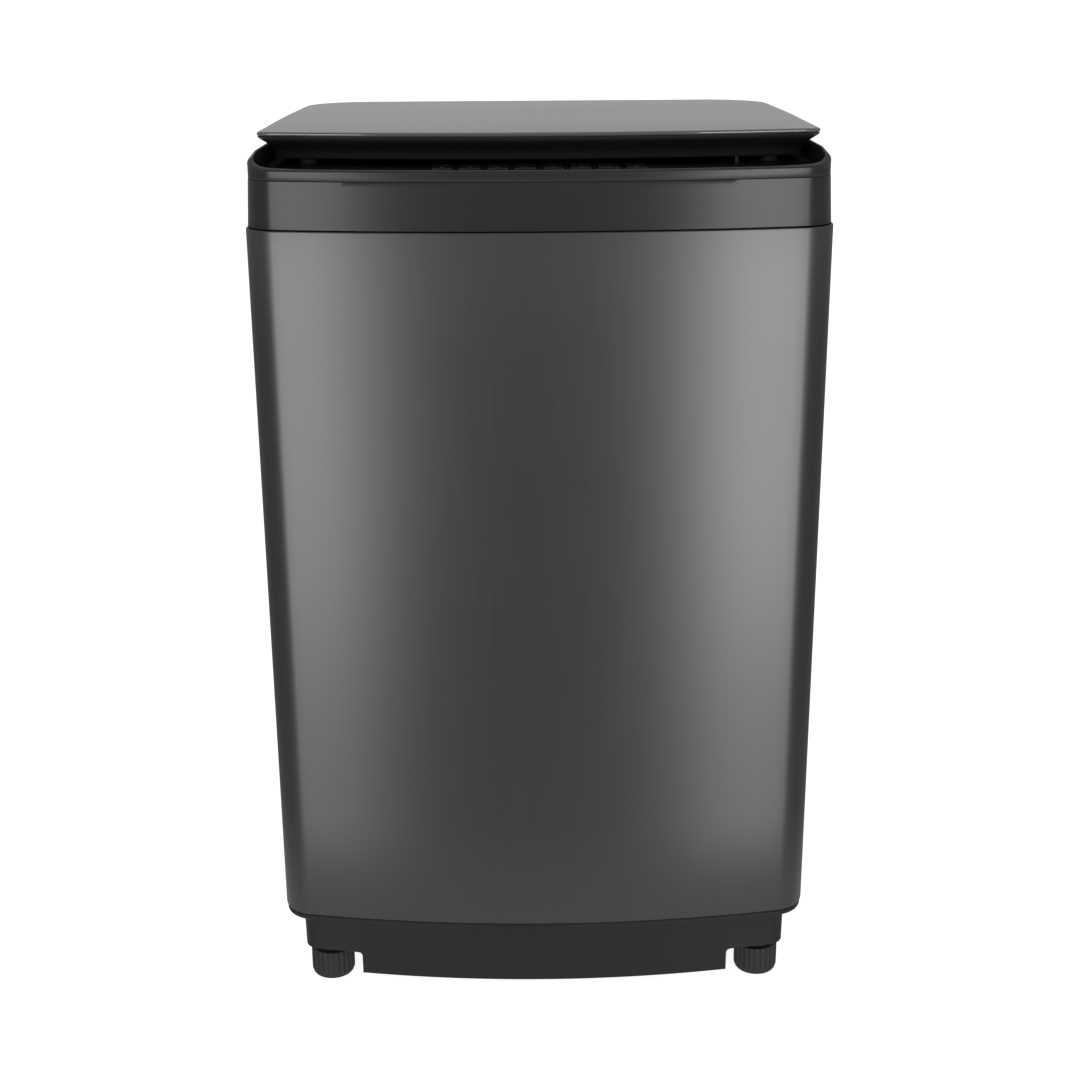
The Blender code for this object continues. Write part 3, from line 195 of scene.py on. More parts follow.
def grain_finish(
    name,
    colour,
    roughness,
    metallic=0.0,
    grain=(400.0, 400.0, 400.0),
    tint=0.08,
    spread=0.06,
    bump=0.15,
    depth=0.0002,
    patch=6.0,
    patch_tint=0.06,
    coat=0.0,
    coat_roughness=0.08,
    sheen=0.0,
    dust=0.0,
    detail=3.0,
    specular=0.5,
    ior=1.5,
):
    """A finish with a fine grain in colour, roughness and relief, over broad patches of wear and cast-in variation.
    Dust lightens the faces that look up."""
    made, tree, shader, add = shader_graph(name)
    place = add("ShaderNodeTexCoord")
    stretch = add("ShaderNodeMapping", [("Vector", place.outputs["Object"])])
    stretch.inputs["Scale"].default_value = grain
    fine = add("ShaderNodeTexNoise", [("Vector", stretch.outputs["Vector"])])
    fine.inputs["Scale"].default_value = 1.0
    fine.inputs["Detail"].default_value = detail
    broad = add("ShaderNodeTexNoise", [("Vector", place.outputs["Object"])])
    broad.inputs["Scale"].default_value = patch
    broad.inputs["Detail"].default_value = 4.0
    shade = add("ShaderNodeMapRange", [("Value", fine.outputs["Fac"])])
    shade.inputs["To Min"].default_value = 1 - tint
    shade.inputs["To Max"].default_value = 1 + tint
    patches = add("ShaderNodeMapRange", [("Value", broad.outputs["Fac"])])
    patches.inputs["From Min"].default_value = 0.3
    patches.inputs["From Max"].default_value = 0.7
    patches.inputs["To Min"].default_value = 1 - patch_tint
    patches.inputs["To Max"].default_value = 1 + patch_tint
    both = add("ShaderNodeMath", [(0, shade.outputs["Result"]), (1, patches.outputs["Result"])],
               operation="MULTIPLY")
    paint = add("ShaderNodeMix", data_type="RGBA", blend_type="MULTIPLY")
    paint.inputs["Factor"].default_value = 1.0
    paint.inputs["A"].default_value = (*colour, 1)
    tree.links.new(both.outputs["Value"], paint.inputs["B"])
    result = paint.outputs["Result"]
    if dust:
        shape = add("ShaderNodeNewGeometry")
        split = add("ShaderNodeSeparateXYZ", [("Vector", shape.outputs["Normal"])])
        upward = add("ShaderNodeMapRange", [("Value", split.outputs["Z"])])
        upward.inputs["From Min"].default_value = 0.6
        upward.inputs["To Max"].default_value = dust
        lies = add("ShaderNodeMath", [(0, upward.outputs["Result"]), (1, broad.outputs["Fac"])],
                   operation="MULTIPLY")
        film = add("ShaderNodeMix", [("Factor", lies.outputs["Value"]), ("A", result)], data_type="RGBA")
        film.inputs["B"].default_value = (0.30, 0.29, 0.27, 1)
        result = film.outputs["Result"]
    tree.links.new(result, shader.inputs["Base Color"])
    rough = add("ShaderNodeMapRange", [("Value", fine.outputs["Fac"])])
    rough.inputs["To Min"].default_value = max(0.02, roughness - spread)
    rough.inputs["To Max"].default_value = min(1.0, roughness + spread)
    worn = add("ShaderNodeMath", [(0, rough.outputs["Result"]), (1, patches.outputs["Result"])],
               operation="MULTIPLY")
    tree.links.new(worn.outputs["Value"], shader.inputs["Roughness"])
    if bump:
        relief = add("ShaderNodeBump", [("Height", fine.outputs["Fac"])])
        relief.inputs["Strength"].default_value = bump
        relief.inputs["Distance"].default_value = depth
        tree.links.new(relief.outputs["Normal"], shader.inputs["Normal"])
    shader.inputs["Metallic"].default_value = metallic
    shader.inputs["Coat Weight"].default_value = coat
    shader.inputs["Coat Roughness"].default_value = coat_roughness
    shader.inputs["Sheen Weight"].default_value = sheen
    shader.inputs["Specular IOR Level"].default_value = specular
    shader.inputs["IOR"].default_value = ior
    made.diffuse_color = (*colour, 1)
    return made


FINISHES = {}


def finish_library():
    """Every finish by name. They are made once, from the colours in the settings."""
    if FINISHES:
        return FINISHES
    colours = bpy.context.scene.washer_colours
    black = tuple(colours.frame_black)
    white = tuple(colours.white)
    grey = tuple(colours.grey)
    made = {
        "wrap": grain_finish("coated_steel", tuple(colours.wrap), 0.31, 0.92, (1400, 1400, 9), 0.07, 0.035,
                             0.05,
                             0.00004, 3.0, 0.02, detail=2.0),
        "band": grain_finish("band_satin", tuple(colours.band), 0.25, 0.0, (900, 900, 900), 0.03, 0.02,
                             0.03,
                             0.00003, 4.0, 0.03),
        "rim": grain_finish("rim_satin", (0.0200, 0.0194, 0.0182), 0.25, 0.0, (900, 900, 900), 0.03, 0.02,
                            0.03,
                            0.00003, 5.0, 0.03),
        "black": grain_finish("black_moulding", black, 0.42, 0.0, (1500, 1500, 1500), 0.10, 0.05, 0.16,
                              0.00008,
                              7.0, 0.08),
        "base": grain_finish("base_moulding", (0.0062, 0.0062, 0.0062), 0.50, 0.0, (1300, 1300, 1300), 0.12,
                             0.05, 0.22,
                             0.0001, 9.0, 0.10, dust=0.10),
        "fascia": grain_finish("fascia_gloss", (0.034, 0.034, 0.0332), 0.26, 0.0, (700, 700, 700), 0.04,
                               0.03, 0.03,
                               0.00004, 5.0, 0.04),
        "panel": grain_finish("panel_gloss", (0.007, 0.007, 0.0072), 0.16, 0.0, (500, 500, 500), 0.04, 0.02,
                              0.02,
                              0.00003, 8.0, 0.08, coat=0.15),
        "key": grain_finish("key_satin", (0.009, 0.009, 0.0092), 0.24, 0.0, (1200, 1200, 1200), 0.06, 0.03,
                            0.06,
                            0.00004, 10.0, 0.04),
        "mark": grain_finish("key_mark", (0.085, 0.087, 0.090), 0.45, 0.0, (1800, 1800, 1800), 0.06, 0.04,
                             0.05, 0.00002),
        "glass": grain_finish("backed_glass", tuple(colours.glass), 0.16, 0.0, (260, 260, 260), 0.015,
                              0.012, 0.01,
                              0.00003, 2.5, 0.015, coat=1.0, coat_roughness=0.035),
        "white": grain_finish("white_moulding", white, 0.42, 0.0, (1200, 1200, 1200), 0.025, 0.05, 0.12,
                              0.00008,
                              8.0, 0.03, dust=0.05),
        "grey": grain_finish("grey_moulding", grey, 0.38, 0.0, (1200, 1200, 1200), 0.05, 0.05, 0.12,
                             0.00008, 8.0, 0.04),
        "drum": grain_finish("drum_steel", (0.60, 0.60, 0.61), 0.24, 1.0, (60, 60, 2200), 0.05, 0.06, 0.10,
                             0.00005,
                             4.0, 0.03, detail=2.0),
        "turned": grain_finish("turned_steel", (0.56, 0.56, 0.57), 0.26, 1.0, (300, 300, 3000), 0.06, 0.06,
                               0.12,
                               0.00005, 12.0, 0.05, detail=2.0),
        "zinc": grain_finish("zinc_plate", (0.46, 0.455, 0.44), 0.36, 0.95, (260, 260, 260), 0.10, 0.08,
                             0.10, 0.00006,
                             18.0, 0.10, detail=5.0),
        "back": grain_finish("rear_sheet", (0.33, 0.335, 0.34), 0.40, 0.85, (190, 190, 190), 0.08, 0.07,
                             0.08, 0.00006,
                             14.0, 0.07, detail=5.0),
        "cast": grain_finish("cast_aluminium", (0.50, 0.50, 0.51), 0.50, 0.9, (520, 520, 520), 0.08, 0.08,
                             0.35,
                             0.00018, 14.0, 0.08, detail=5.0),
        "motor": grain_finish("motor_paint", (0.030, 0.032, 0.035), 0.45, 0.3, (700, 700, 700), 0.08, 0.06,
                              0.20, 0.0001,
                              10.0, 0.08),
        "rubber": grain_finish("rubber_black", (0.013, 0.013, 0.013), 0.70, 0.0, (900, 900, 900), 0.15,
                               0.08, 0.25,
                               0.00012, 12.0, 0.12, dust=0.08, sheen=0.1),
        "foot": grain_finish("foot_moulding", tuple(colours.foot), 0.50, 0.0, (900, 900, 900), 0.12, 0.06,
                             0.20, 0.0001,
                             12.0, 0.10),
    }
    FINISHES.update(made)
    return FINISHES


# ---------------------------------------------------------------- mesh tools


def new_object(name, bm, merge=True):
    """An object at the origin from a bmesh, merged, with its faces pointing out."""
    if merge:
        bmesh.ops.remove_doubles(bm, verts=bm.verts, dist=0.000002)
    bmesh.ops.recalc_face_normals(bm, faces=bm.faces)
    mesh = bpy.data.meshes.new(name)
    bm.to_mesh(mesh)
    bm.free()
    made = bpy.data.objects.new(name, mesh)
    bpy.context.scene.collection.objects.link(made)
    return made


def settle(obj, finish, body, *nodes, slot="", sharp=32):
    """Finishes a piece: its shading, material, the body it rides on, and the frame nodes it stands for."""
    mesh = obj.data
    mesh.shade_smooth()
    mesh.set_sharp_from_angle(angle=math.radians(sharp))
    mesh.materials.clear()
    mesh.materials.append(finish_library()[finish])
    if body:
        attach(obj, body)
    if nodes:
        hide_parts(*nodes)
    return obj


def loft(name, loops, closed=False):
    """A solid through loops of equal length. Closed joins the last loop to the first; else both ends are capped."""
    bm = bmesh.new()
    rows = [[bm.verts.new(point) for point in loop] for loop in loops]
    count = len(rows[0])
    pairs = list(zip(rows, rows[1:]))
    if closed:
        pairs.append((rows[-1], rows[0]))
    for below, above in pairs:
        for i in range(count):
            j = (i + 1) % count
            bm.faces.new((below[i], below[j], above[j], above[i]))
    if not closed:
        bm.faces.new(rows[0])
        bm.faces.new(rows[-1])
    return new_object(name, bm)


def fillet(points, radius, steps=4, closed=True):
    """A profile's points with each corner rounded by radius, or by its own radius where a point has a third value."""
    count = len(points)
    result = []
    for i, point in enumerate(points):
        here = Vector(point[:2])
        wanted = point[2] if len(point) > 2 else radius
        if not closed and i in (0, count - 1) or wanted <= 0:
            result.append(tuple(here))
            continue
        back = Vector(points[i - 1][:2]) - here
        on = Vector(points[(i + 1) % count][:2]) - here
        if back.length < 1e-9 or on.length < 1e-9:
            result.append(tuple(here))
            continue
        angle = back.angle(on)
        if angle > math.radians(176) or angle < math.radians(3):
            result.append(tuple(here))
            continue
        reach = min(wanted / math.tan(angle / 2), back.length * 0.49, on.length * 0.49)
        start, end = here + back.normalized() * reach, here + on.normalized() * reach
        for step in range(steps + 1):
            t = step / steps
            result.append(tuple(start * (1 - t) ** 2 + here * 2 * t * (1 - t) + end * t * t))
    return result


def ring_points(radius, z, count, centre=(0.0, 0.0)):
    turns = (2 * math.pi * i / count for i in range(count))
    return [Vector((centre[0] + radius * math.cos(a), centre[1] + radius * math.sin(a), z)) for a in turns]


def turned(name, profile, count=96, centre=(0.0, 0.0), closed=False, round_by=0.0, steps=4):
    """A turned solid about an upright axis from (radius, z) points, with its profile's corners rounded."""
    if round_by or any(len(p) > 2 for p in profile):
        profile = fillet(profile, round_by, steps, closed)
    return loft(name, [ring_points(p[0], p[1], count, centre) for p in profile], closed)


def block(name, low, high, edge=0.0, segments=3):
    """A block between two corners with rounded edges."""
    bm = bmesh.new()
    bmesh.ops.create_cube(bm, size=1.0)
    bmesh.ops.scale(bm, vec=[h - l for l, h in zip(low, high)], verts=bm.verts)
    bmesh.ops.translate(bm, vec=[(h + l) / 2 for l, h in zip(low, high)], verts=bm.verts)
    if edge:
        bmesh.ops.bevel(bm, geom=list(bm.edges), offset=edge, segments=segments, profile=0.5,
                        affect="EDGES",
                        clamp_overlap=True)
    return new_object(name, bm)


def bar(name, start, end, radius, edge=0.0, count=32, end_radius=None):
    """A round bar between two points with rounded ends."""
    start, end = Vector(start), Vector(end)
    along = end - start
    turn = along.to_track_quat("Z", "Y").to_matrix().to_4x4()
    bm = bmesh.new()
    bmesh.ops.create_cone(bm, cap_ends=True, segments=count, radius1=radius,
                          radius2=radius if end_radius is None else end_radius, depth=along.length)
    if edge:
        rims = [e for e in bm.edges if any(len(f.verts) > 4 for f in e.link_faces)]
        bmesh.ops.bevel(bm, geom=rims, offset=edge, segments=3, profile=0.5, affect="EDGES",
                        clamp_overlap=True)
    bmesh.ops.transform(bm, matrix=Matrix.Translation((start + end) / 2) @ turn, verts=bm.verts)
    return new_object(name, bm)


def sweep(name, points, radius, sides=12, closed=False):
    """A round tube along points, with closed ends, that does not twist."""
    points = [Vector(p) for p in points]
    count = len(points)
    loops = []
    normal = None
    for i, point in enumerate(points):
        before = points[i - 1] if i or closed else point
        after = points[(i + 1) % count] if i < count - 1 or closed else point
        along = (after - before).normalized()
        if normal is None:
            normal = along.orthogonal().normalized()
        normal = (normal - along * normal.dot(along)).normalized()
        side = along.cross(normal)
        turns = (2 * math.pi * k / sides for k in range(sides))
        loops.append([point + (normal * math.cos(a) + side * math.sin(a)) * radius for a in turns])
    return loft(name, loops, closed)


def carve(target, *others, how="DIFFERENCE", solver="EXACT"):
    """Cuts each of the others from target, or joins or crosses it, and removes it."""
    for other in others:
        step = target.modifiers.new("carve", "BOOLEAN")
        step.operation = how
        step.solver = solver
        step.object = other
        with bpy.context.temp_override(object=target, active_object=target):
            bpy.ops.object.modifier_apply(modifier=step.name)
        if not target.data.polygons:
            raise RuntimeError(f"{other.name} left nothing of {target.name}")
        bpy.data.objects.remove(other)
    return target


def join(target, *others, solver="EXACT"):
    return carve(target, *others, how="UNION", solver=solver)


def gather(name, objects):
    """One object that holds the meshes of several that stay apart."""
    bm = bmesh.new()
    for obj in objects:
        bm.from_mesh(obj.data)
        bpy.data.objects.remove(obj)
    return new_object(name, bm, merge=False)


def smooth_step(value, low, high):
    share = min(1.0, max(0.0, (value - low) / (high - low)))
    return share * share * (3 - 2 * share)


# ---------------------------------------------------------------- plans


def arc(centre, radius, start, end, count):
    """Points of a corner from one direction to another, in degrees anticlockwise from +X."""
    steps = (math.radians(start + (end - start) * i / count) for i in range(count + 1))
    return [(centre[0] + radius * math.cos(a), centre[1] + radius * math.sin(a)) for a in steps]


def between(start, end, count):
    """Evenly spaced points between two ends, without the ends."""
    return [
        (start[0] + (end[0] - start[0]) * i / count, start[1] + (end[1] - start[1]) * i / count)
        for i in range(1, count)
    ]


def bowed_plan(half, front, rear, front_corner, rear_corner, bow_steps=56, corner_steps=12, side_steps=16,
               rear_corner_steps=8, rear_steps=28):
    """A plan with a bowed front and four round corners, anticlockwise from the front's left end."""
    lean = math.atan(2 * BOW * (half - front_corner) / half**2)
    edge_x = half - front_corner * (1 - math.sin(lean))
    edge_y = front - BOW * (1 - (edge_x / half) ** 2)
    centre_y = edge_y + front_corner * math.cos(lean)
    bow = []
    for i in range(bow_steps + 1):
        x = edge_x * (2 * i / bow_steps - 1)
        bow.append((x, front - BOW * (1 - (x / half) ** 2)))
    right_front = arc((half - front_corner, centre_y), front_corner, -90 + math.degrees(lean), 0,
                      corner_steps)[1:]
    right_rear = arc((half - rear_corner, rear - rear_corner), rear_corner, 0, 90, rear_corner_steps)
    left_rear = [(-x, y) for x, y in reversed(right_rear)]
    left_front = [(-x, y) for x, y in reversed(right_front)]
    return [
        *bow,
        *right_front,
        *between(right_front[-1], right_rear[0], side_steps),
        *right_rear,
        *between(right_rear[-1], left_rear[0], rear_steps),
        *left_rear,
        *between(left_rear[-1], left_front[0], side_steps),
        *left_front,
    ]


def machine_plan(inset, rear_inset=None, front_inset=None):
    """The machine's plan, moved in by inset. The rear and the front can have an inset of their own."""
    rear_inset = inset if rear_inset is None else rear_inset
    front_inset = inset if front_inset is None else front_inset
    return bowed_plan(HALF - inset, FRONT + front_inset, REAR - rear_inset, max(CORNER - inset, 0.004),
                      max(REAR_CORNER - inset, 0.002))


def lid_plan(side, front):
    """The lid's plan, narrowing to the back, moved in by side at its sides and back, and by front at its front."""
    plan = bowed_plan(LID_HALF - side, GLASS_LOW.y + BOW + front, GLASS_HIGH.y - side, 0.010,
                      max(0.072 - side, 0.012), rear_corner_steps=14)
    return [(x * (1 - 0.018 * smooth_step(y, -0.02, GLASS_HIGH.y)), y) for x, y in plan]


def level(plan, z):
    """The plan's points at a height, which is a number or a function of y."""
    return [Vector((x, y, z(y) if callable(z) else z)) for x, y in plan]


def mouth_plan(like, half_x, half_y, z, square=4.0):
    """A rounded loop round the mouth, with a point in the direction of each point of the plan like."""
    found = []
    for x, y in like:
        angle = math.atan2(y - MOUTH_Y, x)
        c, s = abs(math.cos(angle)), abs(math.sin(angle))
        reach = ((c / half_x) ** square + (s / half_y) ** square) ** (-1 / square)
        found.append(Vector((reach * math.cos(angle), MOUTH_Y + reach * math.sin(angle), z)))
    return found


def wrap_sheet(name, levels, thick, rear_y, flange=0.0, front_share=1.0):
    """A sheet bent round the front and sides. Levels are (inset, z) up its outer face. The front takes a share of the
    inset."""

    def section(inset, z):
        def side_points(extra):
            plan = [p for p in machine_plan(inset + extra, inset, inset * front_share + extra)
                    if p[1] < REAR - 0.014]
            start = max((i for i, p in enumerate(plan) if p[0] < 0), key=lambda i: plan[i][1])
            return plan[start:] + plan[:start]

        edge, lip = HALF - inset, flange + thick
        outer, inner = side_points(0.0), side_points(thick)
        if flange:
            left = [(-edge + lip, rear_y), (-edge + 0.002, rear_y), (-edge + 0.0005, rear_y - 0.0005),
                    (-edge, rear_y - 0.002)]
            left_in = [(-edge + lip, rear_y - thick), (-edge + thick, rear_y - thick)]
        else:
            left, left_in = [(-edge, rear_y)], [(-edge + thick, rear_y)]
        right = [(-x, y) for x, y in reversed(left)]
        right_in = [(-x, y) for x, y in reversed(left_in)]
        flat = left + outer + right + right_in + inner[::-1] + left_in[::-1]
        return [Vector((x, y, z)) for x, y in flat]

    return loft(name, [section(inset, z) for inset, z in levels])


# ---------------------------------------------------------------- repeats made with Geometry Nodes


def new_tree(name, inputs):
    """A geometry node tree with the named inputs, and its group input and output nodes."""
    tree = bpy.data.node_groups.new(name, "GeometryNodeTree")
    tree.interface.new_socket("Geometry", in_out="OUTPUT", socket_type="NodeSocketGeometry")
    for label, kind in inputs:
        tree.interface.new_socket(label, in_out="INPUT", socket_type=kind)
    return tree, tree.nodes.new("NodeGroupInput"), tree.nodes.new("NodeGroupOutput")


def tree_adder(tree):
    def add(kind, links=(), **values):
        node = tree.nodes.new(kind)
        for key, value in values.items():
            setattr(node, key, value)
        for socket, source in links:
            tree.links.new(source, node.inputs[socket])
        return node

    return add


def ring_tree():
    """Copies of an item at equal angles on a circle, each turned to face out."""
    known = bpy.data.node_groups.get("Ring of Items")
    if known:
        return known
    tree, enter, leave = new_tree(
        "Ring of Items",
        [("Item", "NodeSocketObject"), ("Count", "NodeSocketInt"), ("Radius", "NodeSocketFloat"),
         ("Height", "NodeSocketFloat"), ("Turn", "NodeSocketFloat"), ("Centre Y", "NodeSocketFloat"),
         ("Finish", "NodeSocketMaterial")],
    )
    add = tree_adder(tree)
    item = add("GeometryNodeObjectInfo", [("Object", enter.outputs["Item"])], transform_space="ORIGINAL")
    points = add("GeometryNodeMeshCircle", [("Vertices", enter.outputs["Count"]),
                                            ("Radius", enter.outputs["Radius"])])
    order = add("GeometryNodeInputIndex")
    part = add("ShaderNodeMath", [(0, order.outputs["Index"]), (1, enter.outputs["Count"])],
               operation="DIVIDE")
    whole = add("ShaderNodeMath", [(0, part.outputs["Value"])], operation="MULTIPLY")
    whole.inputs[1].default_value = 2 * math.pi
    spin = add("ShaderNodeCombineXYZ", [("Z", whole.outputs["Value"])])
    copies = add("GeometryNodeInstanceOnPoints", [("Points", points.outputs["Mesh"]),
                                                  ("Instance", item.outputs["Geometry"]),
                                                  ("Rotation", spin.outputs["Vector"])])
    lift = add("ShaderNodeCombineXYZ", [("Y", enter.outputs["Centre Y"]), ("Z", enter.outputs["Height"])])
    turn = add("ShaderNodeCombineXYZ", [("Z", enter.outputs["Turn"])])
    placed = add("GeometryNodeTransform", [("Geometry", copies.outputs["Instances"]),
                                           ("Translation", lift.outputs["Vector"]),
                                           ("Rotation", turn.outputs["Vector"])])
    real = add("GeometryNodeRealizeInstances", [("Geometry", placed.outputs["Geometry"])])
    painted = add("GeometryNodeSetMaterial", [("Geometry", real.outputs["Geometry"]),
                                              ("Material", enter.outputs["Finish"])])
    tree.links.new(painted.outputs["Geometry"], leave.inputs["Geometry"])
    return tree


def row_tree():
    """Copies of an item on a flat lattice of columns and rows, each a step apart."""
    known = bpy.data.node_groups.get("Lattice of Items")
    if known:
        return known
    tree, enter, leave = new_tree(
        "Lattice of Items",
        [("Item", "NodeSocketObject"), ("Columns", "NodeSocketInt"), ("Rows", "NodeSocketInt"),
         ("Column Step", "NodeSocketVector"), ("Row Step", "NodeSocketVector"),
         ("First", "NodeSocketVector"),
         ("Finish", "NodeSocketMaterial")],
    )
    add = tree_adder(tree)
    item = add("GeometryNodeObjectInfo", [("Object", enter.outputs["Item"])], transform_space="ORIGINAL")
    column = add("GeometryNodeMeshLine", [("Count", enter.outputs["Columns"]),
                                          ("Start Location", enter.outputs["First"]),
                                          ("Offset", enter.outputs["Column Step"])])
    across = add("GeometryNodeInstanceOnPoints", [("Points", column.outputs["Mesh"]),
                                                  ("Instance", item.outputs["Geometry"])])
    row = add("GeometryNodeMeshLine", [("Count", enter.outputs["Rows"]),
                                       ("Offset", enter.outputs["Row Step"])])
    whole = add("GeometryNodeInstanceOnPoints", [("Points", row.outputs["Mesh"]),
                                                 ("Instance", across.outputs["Instances"])])
    real = add("GeometryNodeRealizeInstances", [("Geometry", whole.outputs["Instances"])])
    painted = add("GeometryNodeSetMaterial", [("Geometry", real.outputs["Geometry"]),
                                              ("Material", enter.outputs["Finish"])])
    tree.links.new(painted.outputs["Geometry"], leave.inputs["Geometry"])
    return tree


def drum_tree():
    """A perforated sheet: one pierced cell repeated on a lattice, rolled into a drum and welded."""
    tree, enter, leave = new_tree(
        "Perforated Drum",
        [("Cell", "NodeSocketObject"), ("Columns", "NodeSocketInt"), ("Rows", "NodeSocketInt"),
         ("Cell Width", "NodeSocketFloat"), ("Cell Height", "NodeSocketFloat"),
         ("Bottom", "NodeSocketFloat"),
         ("Radius", "NodeSocketFloat"), ("Finish", "NodeSocketMaterial")],
    )
    add = tree_adder(tree)
    cell = add("GeometryNodeObjectInfo", [("Object", enter.outputs["Cell"])], transform_space="ORIGINAL")
    wide = add("ShaderNodeCombineXYZ", [("X", enter.outputs["Cell Width"])])
    high = add("ShaderNodeCombineXYZ", [("Z", enter.outputs["Cell Height"])])
    foot = add("ShaderNodeCombineXYZ", [("Z", enter.outputs["Bottom"])])
    column = add("GeometryNodeMeshLine", [("Count", enter.outputs["Columns"]),
                                          ("Offset", wide.outputs["Vector"])])
    across = add("GeometryNodeInstanceOnPoints", [("Points", column.outputs["Mesh"]),
                                                  ("Instance", cell.outputs["Geometry"])])
    row = add("GeometryNodeMeshLine", [("Count", enter.outputs["Rows"]),
                                       ("Start Location", foot.outputs["Vector"]),
                                       ("Offset", high.outputs["Vector"])])
    sheet = add("GeometryNodeInstanceOnPoints", [("Points", row.outputs["Mesh"]),
                                                 ("Instance", across.outputs["Instances"])])
    real = add("GeometryNodeRealizeInstances", [("Geometry", sheet.outputs["Instances"])])
    place = add("GeometryNodeInputPosition")
    split = add("ShaderNodeSeparateXYZ", [("Vector", place.outputs["Position"])])
    length = add("ShaderNodeMath", [(0, enter.outputs["Cell Width"]), (1, enter.outputs["Columns"])],
                 operation="MULTIPLY")
    share = add("ShaderNodeMath", [(0, split.outputs["X"]), (1, length.outputs["Value"])],
                operation="DIVIDE")
    angle = add("ShaderNodeMath", [(0, share.outputs["Value"])], operation="MULTIPLY")
    angle.inputs[1].default_value = 2 * math.pi
    cosine = add("ShaderNodeMath", [(0, angle.outputs["Value"])], operation="COSINE")
    sine = add("ShaderNodeMath", [(0, angle.outputs["Value"])], operation="SINE")
    reach = add("ShaderNodeMath", [(0, enter.outputs["Radius"]), (1, split.outputs["Y"])], operation="ADD")
    x = add("ShaderNodeMath", [(0, cosine.outputs["Value"]), (1, reach.outputs["Value"])],
            operation="MULTIPLY")
    y = add("ShaderNodeMath", [(0, sine.outputs["Value"]), (1, reach.outputs["Value"])],
            operation="MULTIPLY")
    rolled = add("ShaderNodeCombineXYZ", [("X", x.outputs["Value"]), ("Y", y.outputs["Value"]),
                                          ("Z", split.outputs["Z"])])
    drum = add("GeometryNodeSetPosition", [("Geometry", real.outputs["Geometry"]),
                                           ("Position", rolled.outputs["Vector"])])
    welded = add("GeometryNodeMergeByDistance", [("Geometry", drum.outputs["Geometry"])])
    welded.inputs["Distance"].default_value = 0.00005
    painted = add("GeometryNodeSetMaterial", [("Geometry", welded.outputs["Geometry"]),
                                              ("Material", enter.outputs["Finish"])])
    tree.links.new(painted.outputs["Geometry"], leave.inputs["Geometry"])
    return tree


def grow(name, tree, finish, **values):
    """Runs a node tree once with its inputs set, and returns the result as a plain mesh object."""
    carrier = bpy.data.objects.new(name + "_carrier", bpy.data.meshes.new(name + "_carrier"))
    bpy.context.scene.collection.objects.link(carrier)
    step = carrier.modifiers.new("grow", "NODES")
    step.node_group = tree
    values = {key.replace("_", " ").title(): value for key, value in values.items()}
    values["Finish"] = finish_library()[finish]
    for item in tree.interface.items_tree:
        if item.item_type == "SOCKET" and item.in_out == "INPUT" and item.name in values:
            step[item.identifier] = values[item.name]
    graph = bpy.context.evaluated_depsgraph_get()
    mesh = bpy.data.meshes.new_from_object(carrier.evaluated_get(graph))
    mesh.name = name
    carrier.modifiers.remove(step)
    bpy.data.objects.remove(carrier)
    if not mesh.polygons:
        raise RuntimeError(f"{name} has no faces")
    made = bpy.data.objects.new(name, mesh)
    bpy.context.scene.collection.objects.link(made)
    return made


def ring_of(name, item, finish, count, radius, height=0.0, turn=0.0, centre_y=0.0):
    """Copies of item round a circle, as one mesh. The item is used up."""
    made = grow(name, ring_tree(), finish, item=item, count=count, radius=radius, height=height, turn=turn,
                centre_y=centre_y)
    bpy.data.objects.remove(item)
    return made


def lattice_of(name, item, finish, columns, rows, column_step, row_step, first):
    """Copies of item on a lattice, as one mesh. The item is used up."""
    made = grow(name, row_tree(), finish, item=item, columns=columns, rows=rows, column_step=column_step,
                row_step=row_step, first=first)
    bpy.data.objects.remove(item)
    return made


def screw_head(name, radius=0.0040, height=0.0022, facing="Z"):
    """A pan head screw with a cross recess, its seat at the origin."""
    head = turned(name, [(0.0002, height), (radius * 0.62, height * 0.96), (radius * 0.92, height * 0.62),
                         (radius, height * 0.18), (radius, -0.0008), (0.0002, -0.0008)], 20)
    for turn in (0, math.pi / 2):
        slot = block("slot", (-radius * 0.55, -radius * 0.10, height * 0.45),
                     (radius * 0.55, radius * 0.10, height + 0.001))
        slot.data.transform(Matrix.Rotation(turn, 4, "Z"))
        carve(head, slot)
    if facing == "Y":
        head.data.transform(Matrix.Rotation(-math.pi / 2, 4, "X"))
    if facing == "-Y":
        head.data.transform(Matrix.Rotation(math.pi / 2, 4, "X"))
    return head


# ---------------------------------------------------------------- casing


def rod_places():
    return {
        "front_left": (-0.2420, -0.2280),
        "front_right": (0.2420, -0.2280),
        "rear_left": (-0.2420, 0.2280),
        "rear_right": (0.2420, 0.2280),
    }


def foot_names():
    return ("foot_front_left", "foot_front_right", "foot_rear_left", "foot_rear_right")


def middle_of(node):
    low, high = corners(node)
    return (low + high) / 2


